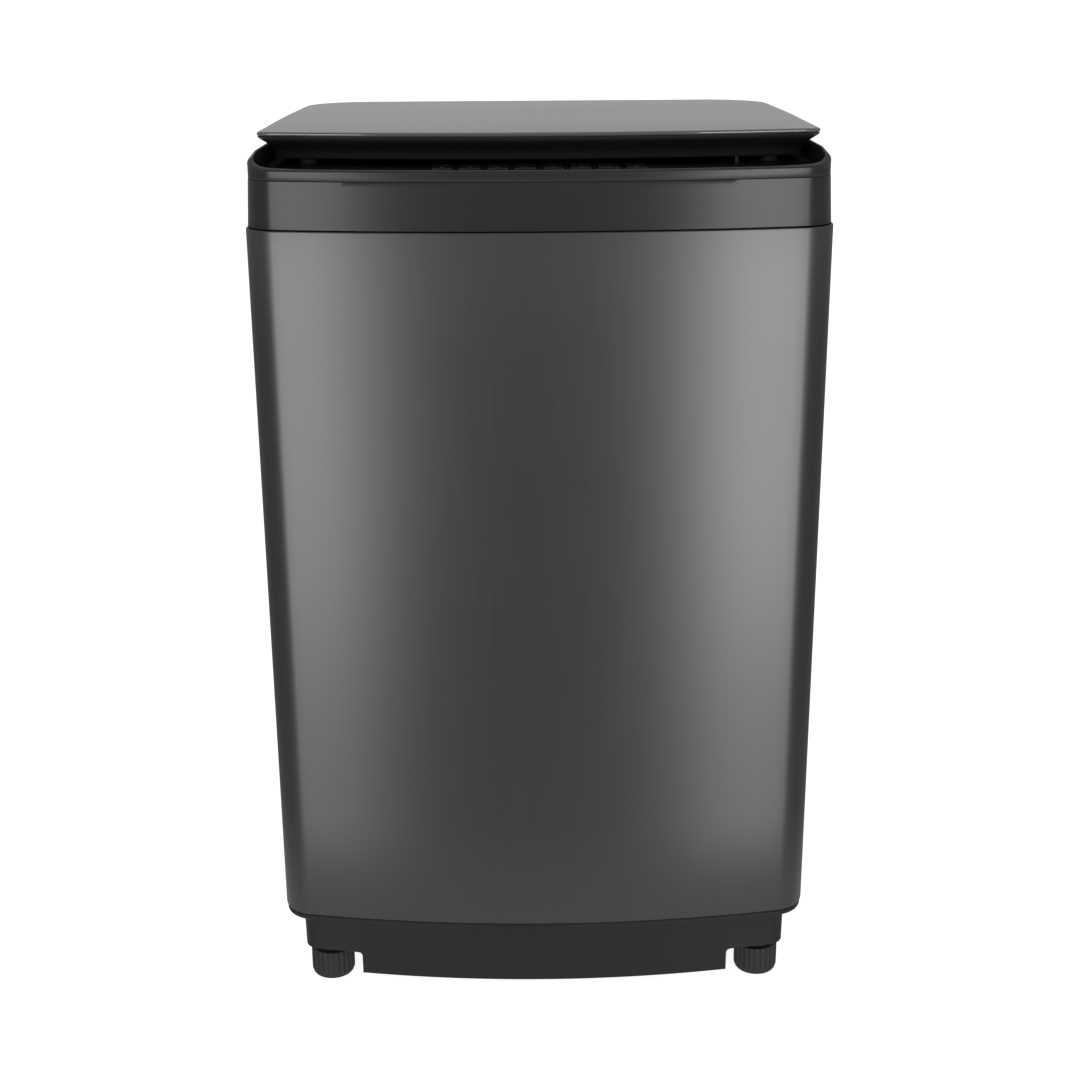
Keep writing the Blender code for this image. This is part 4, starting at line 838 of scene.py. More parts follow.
def build_cabinet():
    """The steel wrap with rolled edges, and inside it the ring whose corners carry the rods."""
    low, high = WRAP_LOW.z, WRAP_HIGH.z
    levels = [(0.0012, low), (0.0003, low + 0.0006), (0.0, low + 0.0016)]
    steps = 6
    levels += [(0.0, low + 0.0016 + (high - low - 0.0032) * i / steps) for i in range(1, steps)]
    levels += [(0.0, high - 0.0016), (0.0003, high - 0.0006), (0.0010, high)]
    rear_y = WRAP_HIGH.y
    wrap = wrap_sheet("cabinet_wrap", levels, 0.0012, rear_y, 0.022)
    settle(wrap, "wrap", "cabinet", "cabinet_shell", slot="dark_steel")
    top = ROD_TOP
    plan = machine_plan(0.0014, 0.0100)
    ring = loft("rod_ring", [
        level(plan, top - 0.014), level(plan, top - 0.0006), level(machine_plan(0.0018, 0.0104), top),
        mouth_plan(plan, 0.2722, 0.2722, top, 2.0), mouth_plan(plan, 0.2718, 0.2718, top - 0.0006, 2.0),
        mouth_plan(plan, 0.2718, 0.2718, top - 0.0052, 2.0),
        mouth_plan(plan, 0.2732, 0.2732, top - 0.0052, 2.0),
        mouth_plan(plan, 0.2732, 0.2732, top - 0.0014, 2.0),
        level(machine_plan(0.0028, 0.0114), top - 0.0014),
        level(machine_plan(0.0028, 0.0114), top - 0.014),
    ], closed=True)
    for place in rod_places().values():
        carve(ring, turned("hole", [(0.0045, top - 0.01), (0.0045, top + 0.01)], 32, place))
    settle(ring, "zinc", "cabinet", slot="zinc_steel")


def relief(x, z, fields):
    """How far the rear sheet is pressed in at a place: sunk fields with round shoulders."""
    depth = 0.0
    for middle_x, middle_z, half_x, half_z, corner in fields:
        dx = max(abs(x - middle_x) - (half_x - corner), 0)
        dz = max(abs(z - middle_z) - (half_z - corner), 0)
        edge = corner - math.hypot(dx, dz)
        depth = max(depth, 0.006 * smooth_step(edge, 0.0, 0.010))
    return depth


def build_rear_panel():
    """The rear sheet: pressed fields, louvres, holes for drain and cord, and a row of screws down each side."""
    low, high = BACK_LOW, BACK_HIGH
    fields = [(0, low.z + 0.640, 0.235, 0.085, 0.03), (0, low.z + 0.395, 0.235, 0.120, 0.03),
              (0, low.z + 0.140, 0.155, 0.095, 0.03)]
    columns, rows = 160, 200
    bm = bmesh.new()
    outer_y = high.y

    def sheet(offset):
        grid = []
        for j in range(rows + 1):
            z = low.z + (high.z - low.z) * j / rows
            line = []
            for i in range(columns + 1):
                x = low.x + (high.x - low.x) * i / columns
                edge = min(x - low.x, high.x - x, z - low.z, high.z - z)
                roll = 0.0012 * (1 - smooth_step(edge, 0.0, 0.004))
                line.append(bm.verts.new((x, outer_y - relief(x, z, fields) - roll - offset, z)))
            grid.append(line)
        return grid

    outer, inner = sheet(0.0), sheet(0.0010)
    for grid, flip in ((outer, False), (inner, True)):
        for j in range(rows):
            for i in range(columns):
                face = [grid[j][i], grid[j][i + 1], grid[j + 1][i + 1], grid[j + 1][i]]
                bm.faces.new(face if flip else face[::-1])
    rim = [(0, i) for i in range(columns)] + [(j, columns) for j in range(rows)]
    rim += [(rows, i) for i in range(columns, 0, -1)] + [(j, 0) for j in range(rows, 0, -1)]
    for here, after in zip(rim, rim[1:] + rim[:1]):
        bm.faces.new((outer[here[0]][here[1]], outer[after[0]][after[1]], inner[after[0]][after[1]],
                      inner[here[0]][here[1]]))
    sheet_obj = new_object("rear_sheet", bm, merge=False)
    drain, cord = middle_of("drain_outlet"), middle_of("cord_gland")
    for place, radius in ((drain, 0.0235), (cord, 0.0095)):
        carve(sheet_obj, bar("cut", (place.x, outer_y - 0.03, place.z), (place.x, outer_y + 0.01, place.z),
                             radius, count=48))
    slot_item = block("slot", (-0.026, outer_y - 0.03, -0.0022), (0.026, outer_y + 0.01, 0.0022), 0.0021)
    slots = lattice_of("slots", slot_item, "back", 4, 7, (0.072, 0, 0), (0, 0, 0.0125),
                       (-0.108, 0, low.z + 0.603))
    carve(sheet_obj, slots)
    settle(sheet_obj, "back", "cabinet", "rear_panel", slot="zinc_steel")
    screw = screw_head("screw", facing="-Y")
    screw.data.transform(Matrix.Rotation(math.pi, 4, "Z"))
    screws = lattice_of("rear_screws", screw, "zinc", 2, 6, (high.x - low.x - 0.020, 0, 0),
                        (0, 0, (high.z - low.z - 0.030) / 5),
                        (low.x + 0.010, outer_y - 0.0007, low.z + 0.015))
    settle(screws, "zinc", "cabinet", slot="zinc_steel")


def build_base():
    """The pedestal: a lip under the cabinet, a wall set in from it and a stout round post over each foot."""
    top, bottom = BASE_HIGH.z, BASE_LOW.z
    hole = bowed_plan(0.200, -0.195, 0.205, 0.05, 0.05)
    deck = loft("base_pedestal", [
        level(machine_plan(0.0030), top - 0.0078), level(machine_plan(0.0016), top - 0.0066),
        level(machine_plan(0.0012), top - 0.0052), level(machine_plan(0.0012), top - 0.0022),
        level(machine_plan(0.0024), top - 0.0008), level(machine_plan(0.0032), top),
        level(hole, top), level(hole, top - 0.0065),
    ], closed=True)
    wall = loft("wall", [
        level(machine_plan(0.0216), bottom + 0.0004), level(machine_plan(0.0203), bottom + 0.0002),
        level(machine_plan(0.0199), bottom + 0.0014), level(machine_plan(0.0188), top - 0.0115),
        level(machine_plan(0.0180), top - 0.0088), level(machine_plan(0.0158), top - 0.0058),
        level(machine_plan(0.0222), top - 0.0045), level(machine_plan(0.0229), bottom + 0.0014),
    ], closed=True)
    join(deck, wall)
    arch = 0.0635
    for side in (-1, 1):
        for y0, y1 in ((-REAR - 0.01, middle_of(foot_names()[0]).y + 0.046),
                       (middle_of(foot_names()[2]).y - 0.046, REAR + 0.01)):
            xs = sorted((side * 0.208, side * (HALF + 0.03)))
            carve(deck, block("arch", (xs[0], y0, -0.02), (xs[1], y1, arch), 0.0045))
    carve(deck, block("rear_arch", (-0.218, REAR - 0.06, -0.02), (0.218, REAR + 0.01, 0.085), 0.006))
    for name in foot_names():
        foot = middle_of(name)
        place = (foot.x, foot.y)
        post = turned("post", [(0.0196, 0.0367), (0.0205, 0.0370), (0.0210, 0.0386), (0.0210, top - 0.004),
                               (0.0170, top - 0.004),
                               (0.0170, 0.0367)], 96, place, closed=True)
        core = turned("core", [(0.0058, 0.0372), (0.0180, 0.0372), (0.0180, top - 0.004),
                               (0.0058, top - 0.004)], 96, place, closed=True)
        join(deck, join(post, core))
        carve(deck, turned("bore", [(0.0056, 0.0), (0.0056, 0.0905)], 48, place))
    settle(deck, "base", "cabinet", "base_frame", slot="black_plastic", sharp=28)


def flute(angle, count, depth):
    """How far a round groove cuts in at an angle, for count grooves of a share of the pitch."""
    share = (angle * count / (2 * math.pi)) % 1.0
    across = abs(share - 0.5) * 2
    return depth * (1 - across**2) ** 0.5 if across < 1 else 0.0


def build_feet():
    """Each foot is a fluted knob with a broad rounded underside, a hexagon nut and a threaded stud."""
    flutes = bpy.context.scene.washer_sizes.foot_flutes
    around = flutes * 8
    # Each line: height, radius, depth of the flutes.
    profile = [(0.0, 0.0005, 0), (0.0, 0.0205, 0), (0.0003, 0.0217, 0), (0.0011, 0.0230, 0.0001),
               (0.0023, 0.0240, 0.0003),
               (0.0040, 0.0247, 0.0007), (0.0062, 0.0251, 0.0010), (0.0090, 0.0252, 0.0012),
               (0.0320, 0.0252, 0.0012),
               (0.0338, 0.0249, 0.0010), (0.0347, 0.0241, 0.0005), (0.0349, 0.0228, 0), (0.0349, 0.0005, 0)]
    for name in foot_names():
        centre = middle_of(name)
        loops = []
        for z, radius, depth in profile:
            turns = (2 * math.pi * i / around for i in range(around))
            loops.append([Vector((centre.x + (radius - flute(a, flutes, depth)) * math.cos(a),
                                  centre.y + (radius - flute(a, flutes, depth)) * math.sin(a), z))
                                  for a in turns])
        knob = loft(name + "_knob", loops)
        settle(knob, "foot", name, name, slot="black_rubber", sharp=50)
        pitch, crest, root = 0.0012, 0.0049, 0.0043
        turns_up = int((corners(name)[1].z - 0.0352) / pitch)
        thread = [(0.0005, 0.0345), (root, 0.0345)]
        for i in range(turns_up):
            z = 0.0350 + i * pitch
            thread += [(root, z), (crest, z + pitch * 0.4), (crest, z + pitch * 0.6), (root, z + pitch)]
        thread += [(0.0030, corners(name)[1].z), (0.0005, corners(name)[1].z)]
        stud = turned(name + "_stud", thread, 32, (centre.x, centre.y))
        settle(stud, "zinc", name, slot="zinc_steel", sharp=30)


def build_band():
    """The trim band under the rim: satin, leaning in a little, with a fine seam above and below it."""
    low, high = BAND_LOW.z, BAND_HIGH.z
    start, lean = bpy.context.scene.washer_sizes.band_step, bpy.context.scene.washer_sizes.band_lean
    levels = [(start + 0.0009, low), (start + 0.0002, low + 0.0004), (start, low + 0.0012)]
    levels += [(start + lean * i / 6, low + (high - low) * i / 6) for i in range(1, 6)]
    levels += [(start + lean, high - 0.0002), (start + lean + 0.0002, high)]
    band = wrap_sheet("trim_band_shell", levels, 0.0020, BAND_HIGH.y, front_share=0.6)
    settle(band, "band", "cabinet", "trim_band", slot="dark_band")


def rim_height(y):
    """The rim is low across the front, by the keys, and rises in the front corners to its full height."""
    return RIM_FRONT + (TOP_HIGH.z - RIM_FRONT) * smooth_step(y, FRONT - 0.004, FRONT + 0.050)


def build_top_frame():
    """The rim in two parts: a satin outer edge over the trim band, and the black deck with the mouth inside it."""
    sizes = bpy.context.scene.washer_sizes
    base = BAND_HIGH.z + 0.00025
    roll = sizes.rim_round
    inner_rear = REAR - 0.2560
    edge = [(0.0055, 0.0040, lambda y: base), (0.0053, 0.0006, lambda y: base + 0.0002)]
    steps = 7

    def roll_at(y):
        """The rim's outer edge is crisp across the front and well rounded along the sides."""
        return sizes.front_round + (roll - sizes.front_round) * smooth_step(y, FRONT + 0.004, FRONT + 0.060)

    for i in range(steps + 1):
        turn = math.pi / 2 * i / steps
        side_in = 0.0053 + roll * 0.62 * (1 - math.cos(turn))
        edge.append((side_in, 0.0006 + 0.006 * (1 - math.cos(turn)),
                     lambda y, t=turn: rim_height(y) - roll_at(y) * (1 - math.sin(t))))
    ahead = 0.0018  # the rim's front stands this much further out than its sides
    rim_loops = [level(machine_plan(side, rear, side - ahead), z) for side, rear, z in edge]
    for side, rear, drop in ((0.0106, 0.0080, 0.0002), (0.0114, 0.0090, 0.0010), (0.0116, 0.0092, 0.0030),
                             (0.0102, 0.0080, 0.0034)):
        rim_loops.append(level(machine_plan(side, rear, side - 0.0004), lambda y,
                               d=drop: rim_height(y) - d))
    rim_loops.append(level(machine_plan(0.0084, 0.0060), lambda y: base + 0.0002))
    rim = loft("rim_edge", rim_loops, closed=True)
    settle(rim, "rim", "cabinet", "top_frame", slot="dark_band", sharp=50)

    plan = machine_plan(0.0)
    throat = 0.172
    under = machine_plan(0.0102)
    half_x, half_y = 0.205, 0.174
    loops = [
        level(machine_plan(0.0056), TOP_LOW.z), level(machine_plan(0.0078), base - 0.0012),
        level(machine_plan(0.0096), base + 0.0006),
        level(machine_plan(0.0108, 0.0086), lambda y: rim_height(y) - 0.0044),
        level(machine_plan(0.0118, inner_rear - 0.0030), lambda y: rim_height(y) - 0.0030),
        level(machine_plan(0.0124, inner_rear - 0.0012), lambda y: rim_height(y) - 0.0026),
        level(machine_plan(0.0130, inner_rear), lambda y: rim_height(y) - 0.0040),
        level(machine_plan(0.0132, inner_rear + 0.0003), lambda y: DECK + 0.0012),
        level(machine_plan(0.0144, inner_rear + 0.0014), DECK),
        mouth_plan(plan, half_x + 0.0075, half_y + 0.0075, DECK),
        mouth_plan(plan, half_x + 0.0035, half_y + 0.0035, DECK - 0.0008),
        mouth_plan(plan, half_x + 0.0010, half_y + 0.0010, DECK - 0.0028),
        mouth_plan(plan, half_x, half_y, DECK - 0.0056, 3.9),
        mouth_plan(plan, 0.196, 0.1735, DECK - 0.016, 3.0),
        mouth_plan(plan, throat + 0.006, throat + 0.001, 0.905, 2.3),
        mouth_plan(plan, throat, throat, 0.8906, 2.0),
        mouth_plan(plan, throat + 0.0005, throat + 0.0005, 0.8900, 2.0),
        mouth_plan(plan, throat + 0.0025, throat + 0.0025, 0.8900, 2.0),
        mouth_plan(plan, throat + 0.009, throat + 0.004, 0.905, 2.3),
        mouth_plan(plan, 0.199, 0.1765, DECK - 0.018, 3.0),
        mouth_plan(plan, half_x + 0.003, half_y + 0.003, DECK - 0.007),
        mouth_plan(plan, half_x + 0.006, half_y + 0.006, DECK - 0.003),
        level(under, DECK - 0.003), level(under, TOP_LOW.z),
    ]
    deck = loft("top_deck", loops, closed=True)
    pins = (middle_of("hinge_pin_left"), middle_of("hinge_pin_right"))
    for pin in pins:
        carve(deck,
              block("pocket", (pin.x - 0.017, 0.2460, DECK + 0.0045),
                    (pin.x + 0.017, pin.y + 0.0100, TOP_HIGH.z + 0.02), 0.002),
              bar("hole", (pin.x - 0.0264, pin.y, pin.z), (pin.x + 0.0264, pin.y, pin.z), 0.0033),
              solver="MANIFOLD")
    keys = [corners(f"key_{i}") for i in range(1, 9)]
    key_low, key_high = keys[0][0], keys[-1][1]
    latch = middle_of("lid_latch")
    drawer_low, drawer_high = corners("detergent_drawer")
    carve(deck,
          block("key_slot", (key_low.x - 0.003, key_low.y - 0.002, DECK - 0.02),
                (key_high.x + 0.003, key_high.y + 0.002, DECK + 0.01)),
          block("window", (drawer_low.x - 0.0025, 0.130, drawer_low.z - 0.0020),
                (drawer_high.x + 0.0025, 0.186, drawer_high.z + 0.0014), 0.0015),
          block("latch_slot", (latch.x - 0.004, latch.y - 0.009, DECK - 0.02),
                (latch.x + 0.004, latch.y + 0.009, DECK + 0.01), 0.001),
          solver="MANIFOLD")
    valve = middle_of("inlet_valve")
    carve(deck, bar("valve_hole", (valve.x, REAR - 0.03, valve.z), (valve.x, REAR + 0.01, valve.z), 0.0160,
                    count=48), solver="MANIFOLD")
    settle(deck, "black", "cabinet", slot="black_plastic", sharp=40)
    rear_cover = loft("rim_rear_cover", [
        level(machine_plan(0.0104, 0.0084), lambda y: rim_height(y) - 0.0032),
        level(machine_plan(0.0106, 0.0086), lambda y: rim_height(y) - 0.0012),
        level(machine_plan(0.0114, inner_rear - 0.0022), lambda y: rim_height(y) - 0.0012),
        level(machine_plan(0.0116, inner_rear - 0.0024), lambda y: rim_height(y) - 0.0032),
    ], closed=True)
    front_cut = block("front_cut", (-0.4, -0.5, 0.9), (0.4, 0.2535, 1.0))
    carve(rear_cover, front_cut)
    for pin in pins:
        carve(rear_cover, block("pocket", (pin.x - 0.017, 0.2300, DECK),
                                (pin.x + 0.017, pin.y + 0.0100, TOP_HIGH.z + 0.02), 0.002))
    settle(rear_cover, "black", "cabinet", slot="black_plastic", sharp=40)


# ---------------------------------------------------------------- controls


def key_cap(name, low, high, edge):
    """A key with round corners and a rolled upper edge, dished a little along its middle."""
    corner = 0.0022
    loops = []
    for z, inset in ((low.z, 0.0), (high.z - edge, 0.0), (high.z - edge * 0.45, edge * 0.16),
                     (high.z - edge * 0.12, edge * 0.55),
                     (high.z, edge * 1.2), (high.z - 0.0002, 0.0030)):
        spot = max(corner - inset, 0.0006)
        x0, x1, y0, y1 = low.x + inset, high.x - inset, low.y + inset, high.y - inset
        plan = (arc((x1 - spot, y0 + spot), spot, -90, 0, 5) + arc((x1 - spot, y1 - spot), spot, 0, 90, 5)
                + arc((x0 + spot, y1 - spot), spot, 90, 180, 5) + arc((x0 + spot, y0 + spot), spot, 180,
                                                                      270, 5))
        loops.append(level(plan, z))
    return loft(name, loops)


def build_controls():
    """The gloss panel with eight keys set flush in it, a small mark on each key and a dark display strip."""
    sizes = bpy.context.scene.washer_sizes
    low, high = PANEL_LOW, PANEL_HIGH
    front = [(x, y) for x, y in machine_plan(0.0145) if y < high.y - 0.0045]
    start = max(range(len(front)), key=lambda i: (front[i][0] < 0, front[i][1]))
    front = front[start:] + front[:start]
    outline = [(front[0][0], high.y), *front, (front[-1][0], high.y)]
    centre = Vector((0, (low.y + high.y) / 2))

    def shrunk(by):
        found = []
        for x, y in outline:
            found.append((x - math.copysign(min(by, abs(x)), x), y + by if y < centre.y - 0.02 else y - by))
        return found

    panel = loft("control_fascia", [level(outline, low.z), level(outline, high.z - 0.0007),
                                    level(shrunk(0.0003), high.z - 0.0002),
                                    level(shrunk(0.0009), high.z)])
    for i in range(1, 9):
        key_low, key_high = corners(f"key_{i}")
        carve(panel, block("hole", (key_low.x - 0.0005, key_low.y - 0.0005, low.z - 0.01),
                           (key_high.x + 0.0005, key_high.y + 0.0005, high.z + 0.01), 0.0016))
        cap = key_cap(f"key_{i}_cap", key_low, key_high, sizes.key_edge)
        settle(cap, "key", f"key_{i}", f"key_{i}", slot="key_grey")
        x = (key_low.x + key_high.x) / 2
        y = key_low.y + 0.008
        z = key_high.z
        if i in (1, 8):
            mark = turned("mark", [(0.0022, z - 0.0001), (0.0022, z + 0.0001), (0.0016, z + 0.0001),
                                   (0.0016, z - 0.0001)], 32, (x, y), closed=True)
        else:
            mark = block("mark", (x - 0.0030, y - 0.0004, z - 0.0001), (x + 0.0030, y + 0.0004, z + 0.0001))
        mark.name = f"key_{i}_mark"
        settle(mark, "mark", f"key_{i}")
    settle(panel, "panel", "cabinet", "control_panel", slot="panel_black")
    board_low, board_high = corners("control_board")
    case = block("control_case", board_low, board_high, 0.002, 3)
    settle(case, "white", "cabinet", "control_board", slot="white_plastic")


def build_bumpers():
    """Rubber pads that the closed lid rests on."""
    for name in ("bumper_left", "bumper_right"):
        low, high = corners(name)
        centre = (low + high) / 2
        pad = turned(name + "_pad", [(0.0004, low.z), (0.0085, low.z, 0.0004),
                                     (0.0085, high.z - 0.0014, 0.0008),
                                     (0.0060, high.z, 0.0006), (0.0004, high.z)], 48, (centre.x, centre.y),
                                     steps=4)
        settle(pad, "rubber", "cabinet", name, slot="black_rubber")


# ---------------------------------------------------------------- lid


def build_lid():
    """The lid: a frame that sweeps in below its lip, a grey glass on top, a liner, hinge arms and a latch."""
    bottom, seat = LID_LOW.z, LID_HIGH.z
    sweep = 0.036
    top = LID_TOP
    # Each line: height, how far the side is in from the lip, how far the front is in.
    section = [
        (bottom + 0.0004, 0.0122, sweep + 0.0014), (bottom + 0.0001, 0.0114, sweep + 0.0006),
        (bottom + 0.0008, 0.0110, sweep), (top - 0.0265, 0.0109, sweep * 0.985),
        (top - 0.0240, 0.0108, sweep * 0.955),
        (top - 0.0215, 0.0106, sweep * 0.895), (top - 0.0190, 0.0103, sweep * 0.795),
        (top - 0.0170, 0.0099, sweep * 0.68),
        (top - 0.0155, 0.0095, sweep * 0.575), (top - 0.0140, 0.0089, sweep * 0.455),
        (top - 0.0125, 0.0080, sweep * 0.33),
        (top - 0.0110, 0.0067, sweep * 0.215), (top - 0.0095, 0.0051, sweep * 0.117),
        (top - 0.0080, 0.0034, sweep * 0.050),
        (top - 0.0067, 0.0018, sweep * 0.018), (top - 0.0056, 0.0008, 0.0003),
        (seat - 0.0006, 0.0003, 0.0002),
        (seat, 0.0008, 0.0008),
        (seat, 0.060, 0.060), (bottom, 0.060, 0.060),
    ]
    shell = loft("lid_shell", [level(lid_plan(side, front), z) for z, side, front in section], closed=True)
    pins = [middle_of("hinge_pin_left"), middle_of("hinge_pin_right")]
    for pin in pins:
        arm = block("arm", (pin.x - 0.0149, GLASS_HIGH.y - 0.030, pin.z - 0.0049),
                    (pin.x + 0.0149, pin.y, pin.z + 0.0049), 0.001)
        barrel = bar("barrel", (pin.x - 0.0149, pin.y, pin.z), (pin.x + 0.0149, pin.y, pin.z), 0.0069,
                     0.0006, 48)
        join(shell, arm, barrel, solver="MANIFOLD")
        carve(shell, bar("bore", (pin.x - 0.03, pin.y, pin.z), (pin.x + 0.03, pin.y, pin.z), 0.0033,
                         count=32), solver="MANIFOLD")
    settle(shell, "fascia", "lid", "lid_frame", slot="black_plastic", sharp=38)
    for name, pin in (("hinge_pin_left", pins[0]), ("hinge_pin_right", pins[1])):
        low, high = corners(name)
        steel = bar(name + "_steel", (low.x, pin.y, pin.z), (high.x, pin.y, pin.z), 0.0030, 0.0005, 32)
        settle(steel, "zinc", "cabinet", name, slot="zinc_steel")
    low = GLASS_LOW.z
    glass = loft("lid_pane", [level(lid_plan(inset, inset), z) for z, inset in (
        (low, 0.0010), (low + 0.0005, 0.0003), (low + 0.0012, 0.0), (top - 0.0016, 0.0),
        (top - 0.0009, 0.0003),
        (top - 0.0004, 0.0009), (top - 0.0001, 0.0018), (top, 0.0030))])
    settle(glass, "glass", "lid", "lid_glass", slot="lid_glass_grey")
    liner_low, liner_high = corners("lid_liner")
    z0, z1 = liner_low.z, liner_high.z
    liner = loft("lid_liner_pan", [
        level(lid_plan(0.20, 0.20), z0 + 0.0024), level(lid_plan(0.116, 0.116), z0 + 0.0024),
        level(lid_plan(0.112, 0.112), z0 + 0.0016), level(lid_plan(0.094, 0.094), z0 + 0.0016),
        level(lid_plan(0.090, 0.090), z0 + 0.0024), level(lid_plan(0.0660, 0.0660), z0 + 0.0024),
        level(lid_plan(0.0652, 0.0652), z0 + 0.0012), level(lid_plan(0.0640, 0.0640), z0),
        level(lid_plan(0.0611, 0.0611), z0), level(lid_plan(0.0605, 0.0605), z0 + 0.0004),
        level(lid_plan(0.0605, 0.0605), z1), level(lid_plan(0.0630, 0.0630), z1),
        level(lid_plan(0.0635, 0.0635), z0 + 0.0040), level(lid_plan(0.20, 0.20), z0 + 0.0040),
    ])
    settle(liner, "grey", "lid", "lid_liner", slot="grey_plastic", sharp=40)
    latch_low, latch_high = corners("lid_latch")
    hook = block("latch_hook", latch_low, latch_high, 0.0007)
    y = (latch_low.y + latch_high.y) / 2
    carve(hook, block("eye", (latch_low.x - 0.01, y - 0.0032, DECK - 0.0105),
                      (latch_high.x + 0.01, y + 0.0032, DECK - 0.0045), 0.001))
    settle(hook, "black", "lid", "lid_latch", slot="black_plastic")


def build_lock():
    """The lid lock under the deck and its sliding bolt."""
    low, high = corners("lid_lock")
    latch = middle_of("lid_latch")
    case = block("lock_case", low, high, 0.0012)
    carve(case, block("slot", (latch.x - 0.0040, latch.y - 0.0085, DECK - 0.0170),
                      (latch.x + 0.0040, latch.y + 0.0085, DECK)),
          block("way", (latch.x - 0.0065, latch.y - 0.0028, DECK - 0.0102),
                (latch.x + 0.0240, latch.y + 0.0028, DECK - 0.0048)))
    settle(case, "white", "cabinet", "lid_lock", slot="white_plastic")
    bolt_low, bolt_high = corners("lock_bolt")
    bolt = block("lock_bolt_bar", bolt_low, bolt_high, 0.0008)
    settle(bolt, "zinc", "lock_bolt", "lock_bolt", slot="zinc_steel")


# ---------------------------------------------------------------- water and detergent


def build_drawer():
    """The detergent tray with two wells and a finger grip, in its housing behind the mouth."""
    low, high = corners("detergent_drawer")
    front, wells_low, wells_high = low.y, low.z + 0.0035, high.z
    tray = block("drawer_tray", (low.x + 0.004, front + 0.0035, low.z + 0.0015),
                 (high.x - 0.004, high.y, high.z - 0.0006), 0.0012)
    face = block("face", (low.x, front, low.z), (high.x, front + 0.005, high.z), 0.0014)
    join(tray, face)
    split = 0.030
    for x0, x1 in ((low.x + 0.006, split - 0.001), (split + 0.001, high.x - 0.006)):
        carve(tray, block("well", (x0, front + 0.006, wells_low), (x1, high.y - 0.002, wells_high + 0.02),
                          0.004, 4))
    carve(tray, bar("grip", (-0.022, front - 0.0065, high.z - 0.0126),
                    (0.022, front - 0.0065, high.z - 0.0126), 0.0090, 0.002, 48))
    settle(tray, "black", "detergent_drawer", "detergent_drawer", slot="black_plastic")
    case_low, case_high = corners("detergent_housing")
    case = block("drawer_case", case_low, case_high, 0.0012)
    carve(case, block("inside", (case_low.x + 0.002, case_low.y - 0.02, case_low.z + 0.002),
                      (case_high.x - 0.002, case_high.y - 0.002, high.z + 0.0004), 0.0008))
    settle(case, "white", "cabinet", "detergent_housing", slot="white_plastic")


def build_fittings():
    """The threaded water inlet, the ribbed drain outlet and the cord gland at the back."""
    low, high = corners("inlet_valve")
    mid = middle_of("inlet_valve")
    body = block("inlet_body", (low.x, low.y, low.z), (high.x, REAR - 0.0120, high.z), 0.002)
    pitch, crest, root = 0.0026, 0.0129, 0.0119
    thread = [(0.0085, 0.0), (root, 0.0)]
    z = 0.004
    while z + pitch < 0.0176:
        thread += [(root, z), (crest, z + pitch * 0.35), (crest, z + pitch * 0.6), (root, z + pitch * 0.95)]
        z += pitch
    thread += [(root, 0.0180), (root - 0.0006, 0.0188), (0.0085, 0.0188)]
    spigot = turned("spigot", thread, 64, closed=True)
    spigot.data.transform(Matrix.Translation((mid.x, REAR - 0.0200, mid.z)) @ Matrix.Rotation(-math.pi / 2,
            4, "X"))
    join(body, spigot)
    carve(body, bar("way", (mid.x, REAR - 0.0380, mid.z), (mid.x, REAR + 0.01, mid.z), 0.0085, count=48))
    settle(body, "white", "cabinet", "inlet_valve", slot="white_plastic")
    screen = bar("inlet_screen", (mid.x, REAR - 0.0130, mid.z), (mid.x, REAR - 0.0120, mid.z), 0.0084,
                 count=48)
    settle(screen, "grey", "cabinet", slot="grey_plastic")

    drain = middle_of("drain_outlet")
    profile = [(0.0155, 0.0), (0.0188, 0.0), (0.0190, 0.0012), (0.0190, 0.0292), (0.0276, 0.0300),
               (0.0280, 0.0306),
               (0.0280, 0.0340), (0.0274, 0.0346), (0.0182, 0.0350), (0.0182, 0.0360), (0.0189, 0.0385),
               (0.0189, 0.0400),
               (0.0180, 0.0404), (0.0187, 0.0428), (0.0184, 0.0439), (0.0155, 0.0440)]
    outlet = turned("drain_spout", profile, 72, closed=True)
    outlet.data.transform(Matrix.Translation((drain.x, REAR - 0.0450,
                                              drain.z)) @ Matrix.Rotation(-math.pi / 2, 4, "X"))
    settle(outlet, "black", "cabinet", "drain_outlet", slot="black_plastic")
    cord = middle_of("cord_gland")
    gland_profile = [(0.0042, 0.0), (0.0084, 0.0), (0.0088, 0.0006), (0.0088, 0.0068), (0.0126, 0.0070),
                     (0.0130, 0.0076),
                     (0.0130, 0.0110), (0.0126, 0.0115), (0.0080, 0.0120), (0.0080, 0.0140),
                     (0.0072, 0.0144),
                     (0.0072, 0.0156), (0.0078, 0.0160), (0.0076, 0.0176), (0.0068, 0.0180),
                     (0.0066, 0.0206), (0.0042, 0.0210)]
    gland = turned("cord_sleeve", gland_profile, 48, closed=True)
    gland.data.transform(Matrix.Translation((cord.x, REAR - 0.0220, cord.z)) @ Matrix.Rotation(-math.pi / 2,
            4, "X"))
    settle(gland, "rubber", "cabinet", "cord_gland", slot="black_plastic")


# ---------------------------------------------------------------- tub, basket, wash plate


